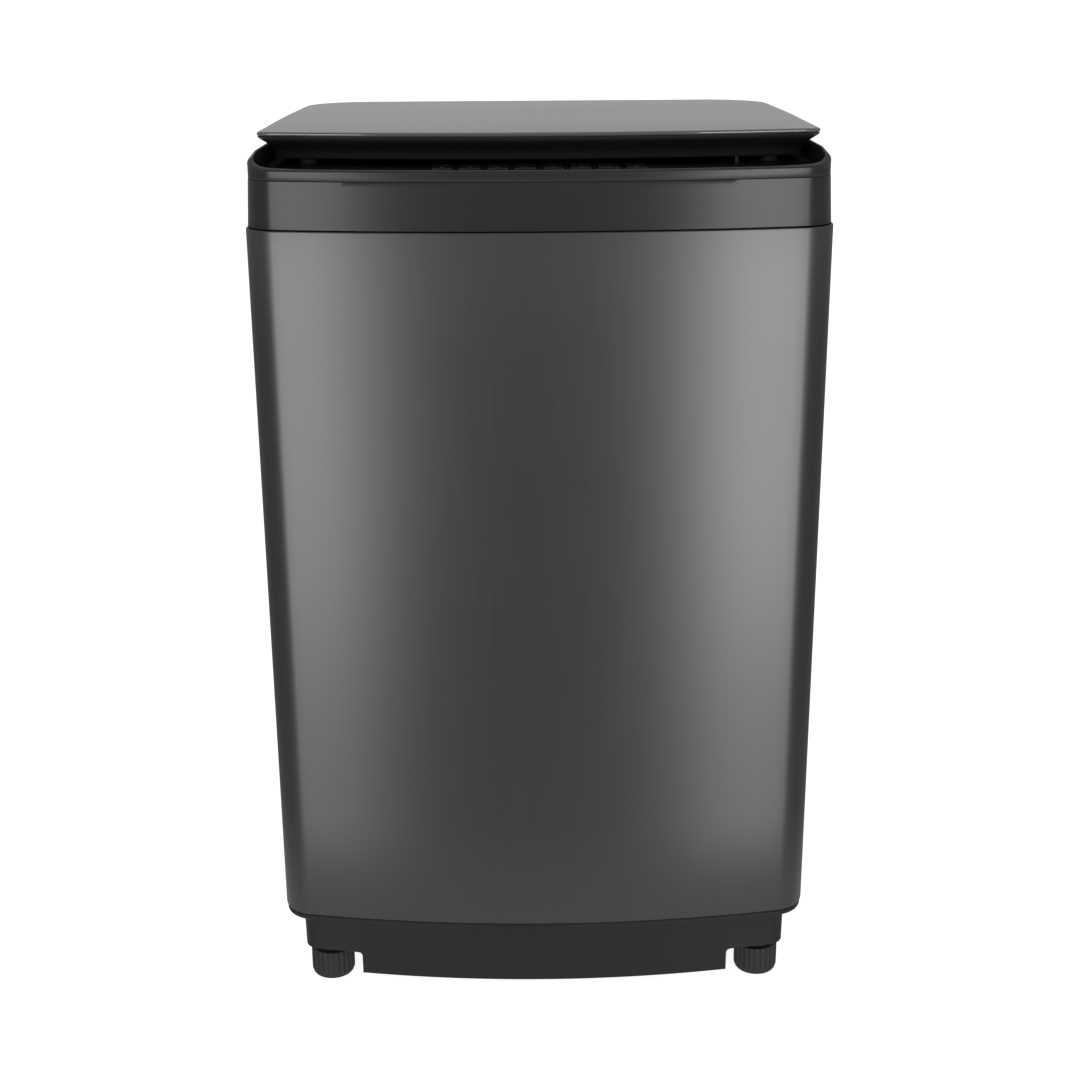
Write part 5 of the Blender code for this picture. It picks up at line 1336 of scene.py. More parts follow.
def build_tub():
    """The ribbed outer tub with its four lugs, and the cover ring clipped on its rim."""
    low, high = TUB_LOW.z, TUB_HIGH.z
    outer, wall = 0.250, 0.003
    hole = 0.034
    profile = [(hole, low), (outer - 0.028, low), (outer - 0.019, low + 0.0030),
               (outer - 0.0065, low + 0.0125),
               (outer - 0.0012, low + 0.0190), (outer, low + 0.026)]
    for z in (0.430, 0.560, 0.690):
        profile += [(outer, z - 0.0042), (outer + 0.0032, z - 0.0030), (outer + 0.0038, z),
                    (outer + 0.0032, z + 0.0030),
                    (outer, z + 0.0042)]
    profile += [(outer, high - 0.016), (outer + 0.0001, high - 0.0004), (outer - 0.0006, high),
                (outer - wall + 0.0004, high),
                (outer - wall, high - 0.0006), (outer - wall, low + 0.026), (outer - 0.0090, low + 0.0150),
                (outer - 0.021, low + 0.0068), (outer - 0.029, low + 0.004), (hole, low + 0.004)]
    tub = turned("tub_shell", profile, 144, closed=True)
    lug_low, lug_high = 0.4050, 0.4200
    reach = math.hypot(0.2420, 0.2280)
    for x, y in rod_places().values():
        arm = block("arm", (outer - 0.0025, -0.014, lug_low), (reach, 0.014, lug_high), 0.0015)
        arm.data.transform(Matrix.Rotation(math.atan2(y, x), 4, "Z"))
        eye = turned("eye", [(0.0005, lug_low), (0.0210, lug_low, 0.001), (0.0210, lug_high, 0.001),
                             (0.0005, lug_high)], 48, (x, y))
        join(tub, arm, eye)
        carve(tub, turned("bore", [(0.0055, lug_low - 0.01), (0.0055, lug_high + 0.01)], 32, (x, y)))
    carve(tub, bar("drain_way", (-0.1450, -0.0450, low - 0.01), (-0.1450, -0.0450, low + 0.01), 0.016,
                   count=48))
    settle(tub, "white", "tub", "outer_tub", slot="white_plastic", sharp=35)
    rib = block("rib", (0.060, -0.0015, -0.0080), (0.218, 0.0015, 0.0003), 0.0006, 2)
    ribs = ring_of("tub_ribs", rib, "white", 24, 0.0001, low - 0.0002, math.radians(7.5))
    keep_clear = [
        block("plate_room", (-0.16, -0.09, low - 0.05), (0.16, 0.24, low + 0.001)),
        block("valve_room", (-0.19, -0.15, low - 0.05), (-0.10, 0.03, low + 0.001)),
    ]
    for room in keep_clear:
        carve(ribs, room)
    settle(ribs, "white", "tub", slot="white_plastic")
    top = high
    cover = turned("tub_cover_ring", [
        (0.2540, top - 0.0120, 0.0004), (0.2540, top + 0.0042, 0.0015), (0.2300, top + 0.0113, 0.004),
        (0.1960, top + 0.0115, 0.001),
        (0.1880, top + 0.0115, 0.0014), (0.1880, top + 0.0070, 0.0014), (0.2300, top + 0.0072, 0.004),
        (0.2508, top + 0.0012, 0.0005),
        (0.2508, top - 0.0120, 0.0004)], 144, closed=True, steps=4, round_by=0.0004)
    settle(cover, "white", "tub", "tub_cover", slot="white_plastic")
    clip = block("clip", (-0.0008, -0.0090, -0.0105), (0.0014, 0.0090, 0.0035), 0.0006)
    clips = ring_of("cover_clips", clip, "white", 12, 0.2540, top, 0.0)
    settle(clips, "white", "tub", slot="white_plastic")


def build_basket():
    """The spin basket: a perforated steel wall with two pressed rings, a base, a balance ring and filters."""
    sizes = bpy.context.scene.washer_sizes
    outer, wall = 0.222, 0.0016
    low, high = DRUM_LOW.z, DRUM_HIGH.z
    plain = 0.034
    columns, rows = sizes.hole_columns, sizes.hole_rows
    width = 2 * math.pi * outer / columns
    height = (high - low - 2 * plain) / rows
    radius = sizes.hole_radius
    bm = bmesh.new()
    sides = 16
    square = []
    for i in range(sides):
        a = 2 * math.pi * (i + 0.5) / sides
        reach = 1 / max(abs(math.cos(a)), abs(math.sin(a)))
        square.append((math.cos(a) * reach / 2, math.sin(a) * reach / 2))
    fine = []
    for i in range(sides):
        a = 2 * math.pi * (i + 0.5) / sides
        fine.append((math.cos(a), math.sin(a)))

    def hole_ring(centre_x, centre_z, y):
        return [bm.verts.new((centre_x + radius * c, y, centre_z + radius * s)) for c, s in fine]

    def cell(x0, z0, y_out, y_in):
        """A pierced square of sheet between two radii, given as offsets from the outer face."""
        cx, cz = x0 + width / 2, z0 + height / 2
        outer_edge = [bm.verts.new((cx + sx * width, y_out, cz + sz * height)) for sx, sz in square]
        inner_edge = [bm.verts.new((cx + sx * width, y_in, cz + sz * height)) for sx, sz in square]
        outer_hole, inner_hole = hole_ring(cx, cz, y_out), hole_ring(cx, cz, y_in)
        for i in range(sides):
            j = (i + 1) % sides
            bm.faces.new((outer_edge[i], outer_edge[j], outer_hole[j], outer_hole[i]))
            bm.faces.new((inner_edge[j], inner_edge[i], inner_hole[i], inner_hole[j]))
            bm.faces.new((outer_hole[i], outer_hole[j], inner_hole[j], inner_hole[i]))

    cell(0.0, 0.0, 0.0, -wall)
    pierced = new_object("drum_cell", bm, merge=False)
    made = grow("drum_middle", drum_tree(), "drum", cell=pierced, columns=columns, rows=rows,
                cell_width=width,
                cell_height=height, bottom=low + plain, radius=outer)
    bpy.data.objects.remove(pierced)
    bm = bmesh.new()
    bm.from_mesh(made.data)
    bpy.data.objects.remove(made)
    rims = {}
    for z in (low + plain, high - plain):
        for r in (outer, outer - wall):
            found = [v for v in bm.verts if abs(v.co.z - z) < 0.0001
                     and abs(math.hypot(v.co.x, v.co.y) - r) < 0.0012]
            rims[(z, r)] = sorted((v for v in found), key=lambda v: math.atan2(v.co.y, v.co.x))

    def band(edge_z, steps):
        """The plain sheet from the pierced field to the drum's edge, through rings of (height, outward offset)."""
        out_now, in_now = rims[(edge_z, outer)], rims[(edge_z, outer - wall)]
        for z, push in steps:
            out_next = [bm.verts.new(((v.co.x) * (outer + push) / math.hypot(v.co.x, v.co.y),
                                      v.co.y * (outer + push) / math.hypot(v.co.x, v.co.y), z))
                                      for v in rims[(edge_z, outer)]]
            in_next = [bm.verts.new(((v.co.x) * (outer - wall + push) / math.hypot(v.co.x, v.co.y),
                                     v.co.y * (outer - wall + push) / math.hypot(v.co.x, v.co.y), z))
                                     for v in rims[(edge_z, outer - wall)]]
            for now, after in ((out_now, out_next), (in_now, in_next)):
                for i in range(len(now)):
                    j = (i + 1) % len(now)
                    bm.faces.new((now[i], now[j], after[j], after[i]))
            out_now, in_now = out_next, in_next
        for i in range(min(len(out_now), len(in_now))):
            j = (i + 1) % len(out_now)
            bm.faces.new((out_now[i], out_now[j], in_now[j], in_now[i]))

    if len(rims[(high - plain, outer)]) != len(rims[(high - plain, outer - wall)]):
        raise RuntimeError("the basket wall's two skins have different rims")
    band(high - plain, [(high - plain + 0.006, 0.0), (high - plain + 0.009, -0.0022),
                        (high - plain + 0.013, -0.0028),
                        (high - plain + 0.017, -0.0022), (high - plain + 0.020, 0.0), (high, 0.0)])
    band(low + plain, [(low + plain - 0.006, 0.0), (low + plain - 0.009, -0.0022),
                       (low + plain - 0.013, -0.0028),
                       (low + plain - 0.017, -0.0022), (low + plain - 0.020, 0.0), (low, 0.0)])
    drum = new_object("basket_drum", bm, merge=False)
    settle(drum, "drum", "basket", "basket_wall", slot="stainless", sharp=40)

    inside = outer - wall - 0.0010
    floor = 0.384
    rim = 0.1680
    base = turned("basket_floor", [
        (0.0159, floor - 0.010), (0.045, floor - 0.010, 0.002), (0.060, floor - 0.002, 0.004),
        (outer - 0.012, floor - 0.002, 0.004),
        (outer, floor + 0.0054, 0.001), (inside, floor + 0.0056), (inside, floor + 0.030, 0.0006),
        (inside - 0.003, floor + 0.030, 0.0010),
        (inside - 0.006, floor + 0.018, 0.004), (rim + 0.018, floor + 0.012, 0.006),
        (rim + 0.008, floor + 0.003, 0.004),
        (0.0159, floor + 0.003)], 144, closed=True, steps=4, round_by=0.0002)
    settle(base, "white", "basket", "basket_base", slot="white_plastic")
    ring_top, ring_bottom, ring_inner = 0.852, 0.812, 0.184
    ring = turned("balance_ring_shell", [
        (outer + 0.0045, high - 0.010, 0.0006), (outer + 0.0045, ring_top - 0.006, 0.002),
        (outer - 0.002, ring_top, 0.003),
        (0.206, ring_top, 0.001), (0.2050, ring_top - 0.0012, 0.0004), (0.2035, ring_top - 0.0012, 0.0004),
        (0.2025, ring_top, 0.001),
        (ring_inner + 0.006, ring_top, 0.003), (ring_inner, ring_top - 0.008, 0.004),
        (ring_inner, ring_bottom + 0.006, 0.003),
        (ring_inner + 0.008, ring_bottom, 0.003), (inside, ring_bottom, 0.0005), (inside, high + 0.0006),
        (outer + 0.0012, high + 0.0006),
        (outer + 0.0012, high - 0.010, 0.0004)], 144, closed=True, steps=4, round_by=0.0003)
    settle(ring, "grey", "basket", "balance_ring", slot="grey_plastic")
    screw = screw_head("screw", 0.0042, 0.0024)
    screw.data.transform(Matrix.Rotation(math.pi / 2, 4, "Y"))
    screws = ring_of("ring_screws", screw, "turned", 8, outer + 0.0042, high + 0.002, math.radians(22.5))
    settle(screws, "turned", "basket", slot="stainless")
    for name in ("lint_filter_left", "lint_filter_right"):
        f_low, f_high = corners(name)
        side = -1 if f_low.x < 0 else 1
        case = block(name + "_case", f_low, f_high, 0.0060, 5)
        barrel = turned("barrel", [(inside - 0.0010, f_low.z - 0.02), (inside - 0.0010, f_high.z + 0.02)],
                        144)
        carve(case, barrel, how="INTERSECT")
        face_x = f_high.x if side < 0 else f_low.x
        slot_item = block("slot", (-0.004, -0.0032, -0.0100), (0.004, 0.0032, 0.0100), 0.0020, 2)
        lattice = lattice_of("slots", slot_item, "grey", 7, 5, (0, 0.0115, 0), (0, 0, 0.0265),
                             (face_x - side * 0.0012, -0.0345, f_low.z + 0.030))
        carve(case, lattice)
        settle(case, "grey", "basket", name, slot="grey_plastic")
    tube_low, tube_high = corners("spin_tube")
    tube = turned("spin_tube_steel", [(0.0155, tube_low.z, 0.0004), (0.0155, tube_high.z, 0.0004),
                                      (0.0107, tube_high.z), (0.0107, tube_low.z)],
                  64, closed=True)
    settle(tube, "turned", "basket", "spin_tube", slot="stainless")


def build_wash_plate():
    """The wash plate: one dished sheet of moulding whose height swells into swept vanes and a domed hub."""
    count = bpy.context.scene.washer_sizes.vane_count
    low = PLATE_LOW.z
    edge = PLATE_HIGH.x
    around, rings = 240, 56
    shaft = 0.0099

    def height(radius, angle):
        dish = 0.0065 + 0.0035 * smooth_step(radius, 0.110, edge - 0.004)
        hub = 0.0375 * (1 - smooth_step(radius, 0.012, 0.056)) ** 0.9
        sweep = 0.55 * (radius - 0.030) / (edge - 0.042)
        turn = (angle - sweep) * count / (2 * math.pi)
        off = abs(turn - round(turn)) * 2 * math.pi / count * radius
        wide = 0.010 + 0.010 * math.sin(math.pi * min(1, max(0, (radius - 0.03) / (edge - 0.042))))
        along = smooth_step(radius, 0.026, 0.040) * (1 - smooth_step(radius, edge - 0.024, edge - 0.010))
        vane = 0.0225 * (1 - smooth_step(off, wide * 0.15, wide)) * along
        between_turn = abs(turn - math.floor(turn) - 0.5)
        ripple = 0.0016 * (1 - smooth_step(between_turn * radius * 2 * math.pi / count, 0.004,
                                           0.010)) * smooth_step(radius, 0.06,
                                                                 0.075) * (1 - smooth_step(radius,
                                                                         edge - 0.030, edge - 0.016))
        return low + max(dish + ripple, 0) + max(hub, vane) if max(hub, vane) > 0 else low + dish + ripple

    bm = bmesh.new()
    rows = []
    for j in range(rings + 1):
        radius = shaft + (edge - 0.0012 - shaft) * j / rings
        rows.append([bm.verts.new((radius * math.cos(a), radius * math.sin(a), height(radius, a)))
                     for a in (2 * math.pi * i / around for i in range(around))])
    for radius, z in ((edge - 0.0004, low + 0.0088), (edge, low + 0.0070), (edge, low + 0.0040),
                      (edge - 0.0012, low + 0.0012),
                      (edge - 0.0030, low), (shaft, low)):
        rows.append([bm.verts.new((radius * math.cos(a), radius * math.sin(a), z))
                     for a in (2 * math.pi * i / around for i in range(around))])
    for now, after in zip(rows, rows[1:] + rows[:1]):
        for i in range(around):
            j = (i + 1) % around
            bm.faces.new((now[i], now[j], after[j], after[i]))
    plate = new_object("wash_plate", bm)
    hole_item = turned("hole", [(0.0018, -0.02), (0.0018, 0.06)], 14)
    holes = []
    for radius, number, turn in ((0.150, 40, 4.5), (0.136, 36, 0.0), (0.122, 32, 5.6)):
        copy = hole_item.copy()
        copy.data = hole_item.data.copy()
        bpy.context.scene.collection.objects.link(copy)
        holes.append(ring_of("holes", copy, "grey", number, radius, low, math.radians(turn)))
    bpy.data.objects.remove(hole_item)
    for ring in holes:
        carve(plate, ring)
    settle(plate, "grey", "pulsator", "pulsator", slot="grey_plastic", sharp=50)
    cap = turned("wash_plate_cap", [(0.0004, low + 0.0455), (0.0080, low + 0.0450), (0.0100, low + 0.0436),
                                    (0.0104, low + 0.0420),
                                    (0.0098, low + 0.0416), (0.0004, low + 0.0416)], 64)
    settle(cap, "turned", "pulsator", slot="stainless")
    shaft_low, shaft_high = corners("wash_shaft")
    steel = turned("wash_shaft_steel", [(0.0004, shaft_low.z), (0.0095, shaft_low.z, 0.0006),
                                        (0.0095, shaft_high.z, 0.0006), (0.0004, shaft_high.z)],
                   48)
    settle(steel, "turned", "pulsator", "wash_shaft", slot="stainless")


# ---------------------------------------------------------------- drive and suspension


def belt_plan(offset):
    """The belt's path round both pulleys, moved out by offset."""
    big, small, apart = 0.066 + offset, 0.0165 + offset, middle_of("motor_pulley").y
    lean = math.degrees(math.asin((big - small) / apart))
    return arc((0, apart), small, lean, 180 - lean, 24) + arc((0, 0), big, 180 - lean, 360 + lean, 72)


def build_drive():
    """The gearbox, the motor on its plate, the pulleys and the belt between them."""
    low, high = corners("gearbox_housing")
    radius = high.x
    plate_low, plate_high = corners("motor_plate")
    case = turned("gearbox_case", [
        (0.0200, low.z), (0.040, low.z, 0.002), (radius, low.z + 0.010, 0.004),
        (radius, low.z + 0.030, 0.0008), (radius - 0.003, low.z + 0.031, 0.0008),
        (radius - 0.003, low.z + 0.037, 0.0008), (radius, low.z + 0.038, 0.0008),
        (radius, plate_low.z - 0.012, 0.004), (0.040, plate_low.z - 0.0004, 0.002),
        (0.032, plate_low.z - 0.0004), (0.032, high.z, 0.0008), (0.0200, high.z, 0.0008)], 96, closed=True,
        steps=4, round_by=0.0002)
    settle(case, "cast", "tub", "gearbox_housing", slot="aluminium_casting")
    fin = block("fin", (-0.0006, -0.0012, low.z + 0.041), (0.0024, 0.0012, plate_low.z - 0.014), 0.0006, 2)
    fins = ring_of("gearbox_fins", fin, "cast", 24, radius - 0.0008)
    settle(fins, "cast", "tub", slot="aluminium_casting")

    plate = block("drive_plate", (plate_low.x, plate_low.y, plate_low.z),
                  (plate_high.x, plate_high.y, plate_low.z + 0.003), 0.0005, 2)
    carve(plate, turned("disc", [(0.242, plate_low.z - 0.01), (0.242, plate_low.z + 0.01)], 144),
          how="INTERSECT")
    carve(plate, turned("shoulder", [(0.034, plate_low.z - 0.01), (0.034, plate_low.z + 0.01)], 64))
    for x0, x1 in ((-0.132, -0.072), (0.072, 0.132)):
        carve(plate, block("window", (x0, 0.045, plate_low.z - 0.02), (x1, 0.145, plate_low.z + 0.02),
                           0.008, 4))
    carve(plate, block("valve_room", (-0.20, -0.10, plate_low.z - 0.02),
                       (-0.085, 0.020, plate_low.z + 0.02), 0.006, 3))
    stands = [(0.125, -0.055), (0.125, 0.165), (-0.125, 0.165), (-0.070, -0.062)]
    for place in stands:
        join(plate, turned("stand", [(0.0004, plate_low.z + 0.001), (0.0110, plate_low.z + 0.001),
                                     (0.0110, plate_high.z, 0.0006), (0.0004, plate_high.z)], 48, place))
    settle(plate, "zinc", "tub", "motor_plate", slot="zinc_steel")
    bolts = []
    for x, y in stands:
        bolt = bar("bolt", (x, y, plate_low.z - 0.0045), (x, y, plate_low.z), 0.0070, 0.0006, 6)
        bolts.append(bolt)
    heads = gather("plate_bolts", bolts)
    settle(heads, "zinc", "tub", slot="zinc_steel")

    motor_low, motor_high = corners("motor")
    centre = middle_of("motor")
    z0, z1 = motor_low.z, motor_high.z
    body = turned("motor_case", [
        (0.0004, z0), (0.008, z0, 0.0008), (0.022, z0 + 0.004, 0.002), (0.030, z0 + 0.012, 0.002),
        (0.054, z0 + 0.018, 0.004), (0.0575, z0 + 0.030, 0.002),
        (0.0575, z0 + 0.036, 0.0006), (0.0545, z0 + 0.037, 0.0006), (0.0545, z1 - 0.020, 0.0006),
        (0.0575, z1 - 0.019, 0.0006), (0.0575, z1 - 0.004, 0.002),
        (0.054, z1, 0.001), (0.0004, z1)], 96, (centre.x, centre.y), steps=4)
    settle(body, "motor", "tub", "motor", slot="aluminium_casting")
    lamina = turned("lamina", [(0.0400, -0.00045), (0.0572, -0.00045), (0.0572, 0.00045),
                               (0.0400, 0.00045)], 72, (centre.x, centre.y), closed=True)
    count = int((z1 - 0.021 - (z0 + 0.039)) / 0.0016)
    stack = lattice_of("motor_laminations", lamina, "zinc", 1, count, (0, 0, 0), (0, 0, 0.0016),
                       (0, 0, z0 + 0.039))
    settle(stack, "zinc", "tub", slot="zinc_steel")

    belt_low, belt_high = corners("drive_belt")
    middle = (belt_low.z + belt_high.z) / 2
    half = (belt_high.z - belt_low.z) / 2
    pulleys = (("clutch_pulley", 0.066, 0.0, 0.012),
               ("motor_pulley", 0.0165, middle_of("motor_pulley").y, 0.006))
    for name, run, centre_y, core in pulleys:
        p_low, p_high = corners(name)
        rim = p_high.x
        wheel = turned(name + "_wheel", [
            (0.0004, p_low.z + 0.0006), (core, p_low.z + 0.0006, 0.0004), (core + 0.0008, p_low.z),
            (rim - 0.001, p_low.z, 0.0008), (rim, middle - half - 0.0018, 0.0006),
            (run - 0.0004, middle - half + 0.0006, 0.0005), (run - 0.0004, middle + half - 0.0006, 0.0005),
            (rim, middle + half + 0.0018, 0.0006),
            (rim - 0.001, middle + half + 0.004, 0.0008), (core + 0.004, middle + half + 0.004, 0.0008),
            (core, middle + half + 0.006, 0.001),
            (core, p_high.z, 0.0006), (0.0004, p_high.z)], 96, (0, centre_y), steps=3)
        if name == "clutch_pulley":
            window = block("window", (-0.0130, -0.0085, middle - 0.03), (0.0130, 0.0085, middle + 0.03),
                           0.005, 4)
            windows = ring_of("windows", window, "cast", 6, 0.040)
            carve(wheel, windows)
        settle(wheel, "cast", name, name, slot="aluminium_casting")
    inner, outer = belt_plan(0.0004), belt_plan(0.0044)
    loops = [level(inner, middle - half + 0.0018), level(belt_plan(0.0036), middle - half + 0.0003),
             level(outer, middle - half + 0.0008),
             level(outer, middle + half - 0.0008), level(belt_plan(0.0036), middle + half - 0.0003),
             level(inner, middle + half - 0.0018)]
    belt = loft("drive_belt_loop", loops, closed=True)
    settle(belt, "rubber", "tub", "drive_belt", slot="black_rubber")


def build_drain():
    """The drain valve under the tub and its actuator."""
    low, high = corners("drain_valve")
    x, y = -0.1450, -0.0450
    valve = turned("drain_valve_body", [(0.0004, low.z), (0.026, low.z, 0.003),
                                        (0.026, high.z - 0.008, 0.0006), (0.0272, high.z - 0.0075, 0.0004),
                                        (0.0272, high.z - 0.001, 0.0006), (0.026, high.z, 0.0004),
                                        (0.0004, high.z)], 72, (x, y), steps=3)
    branch = bar("branch", (x, y, low.z + 0.022), (x, high.y, low.z + 0.022), 0.0150, 0.0008, 48)
    bead = bar("bead", (x, high.y - 0.006, low.z + 0.022), (x, high.y - 0.003, low.z + 0.022), 0.0162,
               0.001, 48)
    join(valve, branch, bead)
    carve(valve, bar("way", (x, y, low.z + 0.022), (x, high.y + 0.02, low.z + 0.022), 0.0120, count=48),
          bar("down", (x, y, low.z + 0.010), (x, y, high.z + 0.02), 0.0150, count=48))
    settle(valve, "white", "tub", "drain_valve", slot="white_plastic")
    a_low, a_high = corners("drain_actuator")
    case = block("actuator_case", a_low, a_high, 0.003)
    settle(case, "black", "tub", "drain_actuator", slot="black_plastic")
    lever = bar("actuator_pin", (x, a_high.y - 0.002, low.z + 0.012), (x, y - 0.024, low.z + 0.012), 0.003,
                0.0004, 24)
    settle(lever, "zinc", "tub", slot="zinc_steel")


def build_suspension():
    """Four rods hang from the cabinet's ring. Each carries a cup with a coil spring under the tub's lug."""
    turns = bpy.context.scene.washer_sizes.spring_turns
    for corner, (x, y) in rod_places().items():
        name = f"suspension_rod_{corner}"
        low, high = corners(name)
        cup_low, cup_high, ring_z = low.z + 0.006, low.z + 0.017, ROD_TOP
        rod = turned(name + "_steel", [
            (0.0004, low.z), (0.0080, low.z, 0.001), (0.0080, cup_low), (0.0200, cup_low, 0.002),
            (0.0200, cup_high, 0.0008), (0.0180, cup_high, 0.0008),
            (0.0180, cup_low + 0.003, 0.002), (0.0035, cup_low + 0.003, 0.0008),
            (0.0035, ring_z + 0.0006, 0.0003), (0.010, ring_z + 0.0006, 0.0008),
            (0.012, high.z - 0.004, 0.003), (0.008, high.z, 0.0015), (0.0004, high.z)], 48, (x, y), steps=3)
        settle(rod, "zinc", "cabinet", name, slot="zinc_steel")
        spring_low, spring_high = corners(f"suspension_spring_{corner}")
        wire, radius = 0.0019, 0.0150
        z0, z1 = spring_low.z + wire + 0.0001, spring_high.z - wire - 0.0001
        per_turn = 28
        whole = turns * per_turn
        points = []
        for i in range(whole + 1):
            turn = i / per_turn
            # One flat turn at each end, and open turns between.
            share = min(max((turn - 0.8) / (turns - 1.6), 0), 1)
            flat = 0.0040 * min(turn, 0.8) / 0.8
            end = 0.0040 * max(turn - (turns - 0.8), 0) / 0.8
            z = z0 + flat + (z1 - z0 - 0.0080) * share + end
            points.append((x + radius * math.cos(2 * math.pi * turn),
                           y + radius * math.sin(2 * math.pi * turn), z))
        coil = sweep(f"suspension_coil_{corner}", points, wire, 10)
        settle(coil, "turned", None, f"suspension_spring_{corner}", slot="zinc_steel")
        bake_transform(coil)


# ---------------------------------------------------------------- stage


def look_through(camera, place, pitch, yaw, roll):
    """Puts the camera at a place, pitched down, turned and rolled by the given degrees."""
    p, w, r = (math.radians(v) for v in (pitch, yaw, roll))
    ahead = Vector((math.sin(w) * math.cos(p), math.cos(w) * math.cos(p), -math.sin(p)))
    right = Vector((math.cos(w), -math.sin(w), 0))
    down = ahead.cross(right)
    tilted_right = right * math.cos(r) + down * math.sin(r)
    tilted_down = down * math.cos(r) - right * math.sin(r)
    turn = Matrix((tilted_right, -tilted_down, -ahead)).transposed()
    camera.rotation_mode = "QUATERNION"
    camera.rotation_quaternion = turn.to_quaternion()
    camera.location = place


def soft_box(name, place, aim, size_x, size_y, power):
    data = bpy.data.lights.new(name, "AREA")
    data.shape = "RECTANGLE"
    data.size, data.size_y = size_x, size_y
    data.energy = power
    lamp = bpy.data.objects.new(name, data)
    bpy.context.scene.collection.objects.link(lamp)
    lamp.location = place
    lamp.rotation_mode = "QUATERNION"
    lamp.rotation_quaternion = (Vector(aim) - Vector(place)).to_track_quat("-Z", "Y")
    return lamp


def build_stage():
    """A pale floor and pale surroundings, two tall soft boxes ahead of the machine, and the camera."""
    scene = bpy.context.scene
    scene.view_settings.view_transform = "Standard"
    world = bpy.data.worlds.new("studio")
    world.use_nodes = True
    tree = world.node_tree
    background = tree.nodes["Background"]
    place = tree.nodes.new("ShaderNodeTexCoord")
    split = tree.nodes.new("ShaderNodeSeparateXYZ")
    lift = tree.nodes.new("ShaderNodeMapRange")
    lift.inputs["From Min"].default_value = -1.0
    fade = tree.nodes.new("ShaderNodeValToRGB")
    ramp = fade.color_ramp
    # From straight down to straight up: a light floor close by, a dim floor further ahead, and pale walls.
    for at, shade in ((0.22, 0.42), (0.29, 0.19), (0.42, 0.22), (0.50, 0.355)):
        ramp.elements.new(at).color = (shade, shade, shade, 1)
    ramp.elements[0].color = (0.55, 0.55, 0.55, 1)
    ramp.elements[-1].color = (0.355, 0.355, 0.355, 1)
    tree.links.new(place.outputs["Generated"], split.inputs["Vector"])
    tree.links.new(split.outputs["Z"], lift.inputs["Value"])
    tree.links.new(lift.outputs["Result"], fade.inputs["Fac"])
    tree.links.new(fade.outputs["Color"], background.inputs["Color"])
    background.inputs["Strength"].default_value = 1.0
    scene.world = world
    floor = block("floor", (-300, -300, -0.04), (300, 300, 0.0))
    pale = grain_finish("floor_pale", (0.80, 0.80, 0.80), 0.8, bump=0, tint=0.004, patch_tint=0.004)
    shader = pale.node_tree.nodes["Principled BSDF"]
    shader.inputs["Emission Color"].default_value = (1, 1, 1, 1)
    shader.inputs["Emission Strength"].default_value = 0.88
    floor.data.materials.append(pale)
    # The floor only shows itself: it neither lights the machine nor shades the low ends of the soft boxes.
    floor.visible_diffuse = floor.visible_glossy = floor.visible_shadow = False
    for side, turn, strong, weak in ((-1, 27.3, 12.9, 2.6), (1, 25.5, 16.0, 3.3)):
        reach_x, reach_y = 2.1 * math.sin(math.radians(turn)), 2.1 * math.cos(math.radians(turn))
        for name, height, tall, power in (("high", 0.625, 1.95, strong), ("low", -0.825, 0.95, weak)):
            place = (side * (0.25 + reach_x), -0.27 - reach_y, height)
            label = f"soft_box_{'left' if side < 0 else 'right'}_{name}"
            soft_box(label, place, (side * 0.25, -0.27, height), 0.60, tall, power)
    data = bpy.data.cameras.new("camera")
    data.lens = 55.64
    camera = bpy.data.objects.new("camera", data)
    scene.collection.objects.link(camera)
    look_through(camera, (-0.0115, -1.9295, 1.114), 18.48, 0.3275, 0.375)
    scene.camera = camera


# ---------------------------------------------------------------- operators

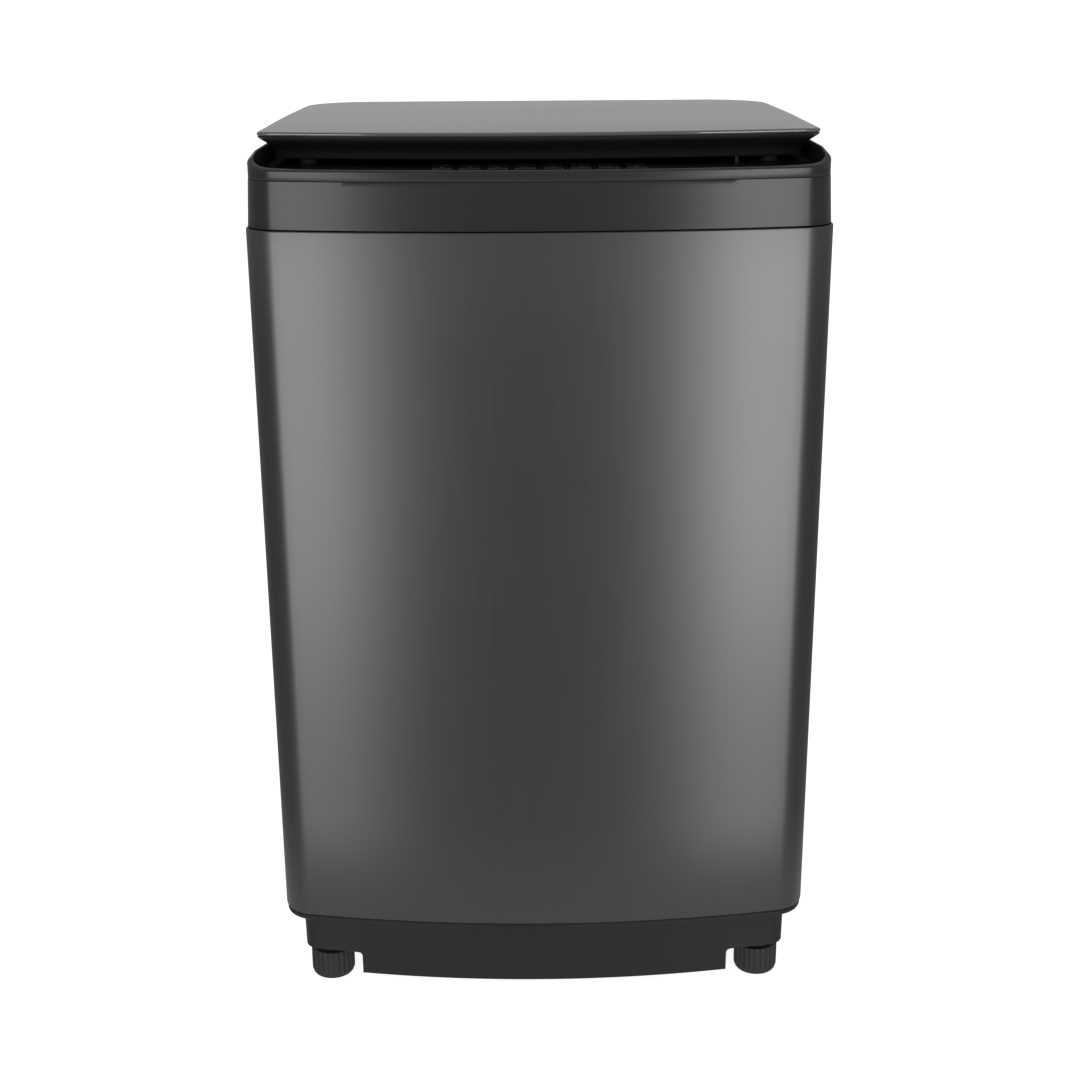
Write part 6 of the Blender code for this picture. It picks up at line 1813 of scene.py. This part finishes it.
STEPS = (
    ("cabinet", "Cabinet", build_cabinet),
    ("rear_panel", "Rear Panel", build_rear_panel),
    ("base", "Base", build_base),
    ("feet", "Feet", build_feet),
    ("band", "Trim Band", build_band),
    ("top_frame", "Top Frame", build_top_frame),
    ("controls", "Controls", build_controls),
    ("bumpers", "Bumpers", build_bumpers),
    ("lid", "Lid", build_lid),
    ("lock", "Lid Lock", build_lock),
    ("drawer", "Detergent Drawer", build_drawer),
    ("fittings", "Rear Fittings", build_fittings),
    ("tub", "Tub", build_tub),
    ("basket", "Basket", build_basket),
    ("wash_plate", "Wash Plate", build_wash_plate),
    ("drive", "Drive", build_drive),
    ("drain", "Drain", build_drain),
    ("suspension", "Suspension", build_suspension),
    ("stage", "Stage", build_stage),
)


def operator_of(key, label, build):
    """An operator class that runs one build step."""

    def execute(self, context):
        build()
        return {"FINISHED"}

    return type(
        f"WASHER_OT_{key}",
        (bpy.types.Operator,),
        {"__doc__": build.__doc__, "bl_idname": f"washer.{key}", "bl_label": f"Build {label}",
         "bl_options": {"REGISTER", "UNDO"}, "execute": execute},
    )


OPERATORS = [operator_of(*step) for step in STEPS]


class WASHER_PT_panel(bpy.types.Panel):
    """Lists the settings and the build steps in the 3D view's sidebar."""

    bl_label = "Washer"
    bl_idname = "WASHER_PT_panel"
    bl_space_type = "VIEW_3D"
    bl_region_type = "UI"
    bl_category = "Washer"

    def draw(self, context):
        for group in (context.scene.washer_sizes, context.scene.washer_colours):
            box = self.layout.box()
            for name in group.__annotations__:
                box.prop(group, name)
        for operator in OPERATORS:
            self.layout.operator(operator.bl_idname)


CLASSES = (WasherSizes, WasherColours, *OPERATORS, WASHER_PT_panel)


def register():
    for cls in CLASSES:
        bpy.utils.register_class(cls)
    bpy.types.Scene.washer_sizes = PointerProperty(type=WasherSizes)
    bpy.types.Scene.washer_colours = PointerProperty(type=WasherColours)


def unregister():
    del bpy.types.Scene.washer_colours
    del bpy.types.Scene.washer_sizes
    for cls in reversed(CLASSES):
        bpy.utils.unregister_class(cls)


def main():
    register()
    for key, _, _ in STEPS:
        if getattr(bpy.ops.washer, key)() != {"FINISHED"}:
            raise RuntimeError(f"{key} did not finish")


if __name__ == "__main__":
    main()
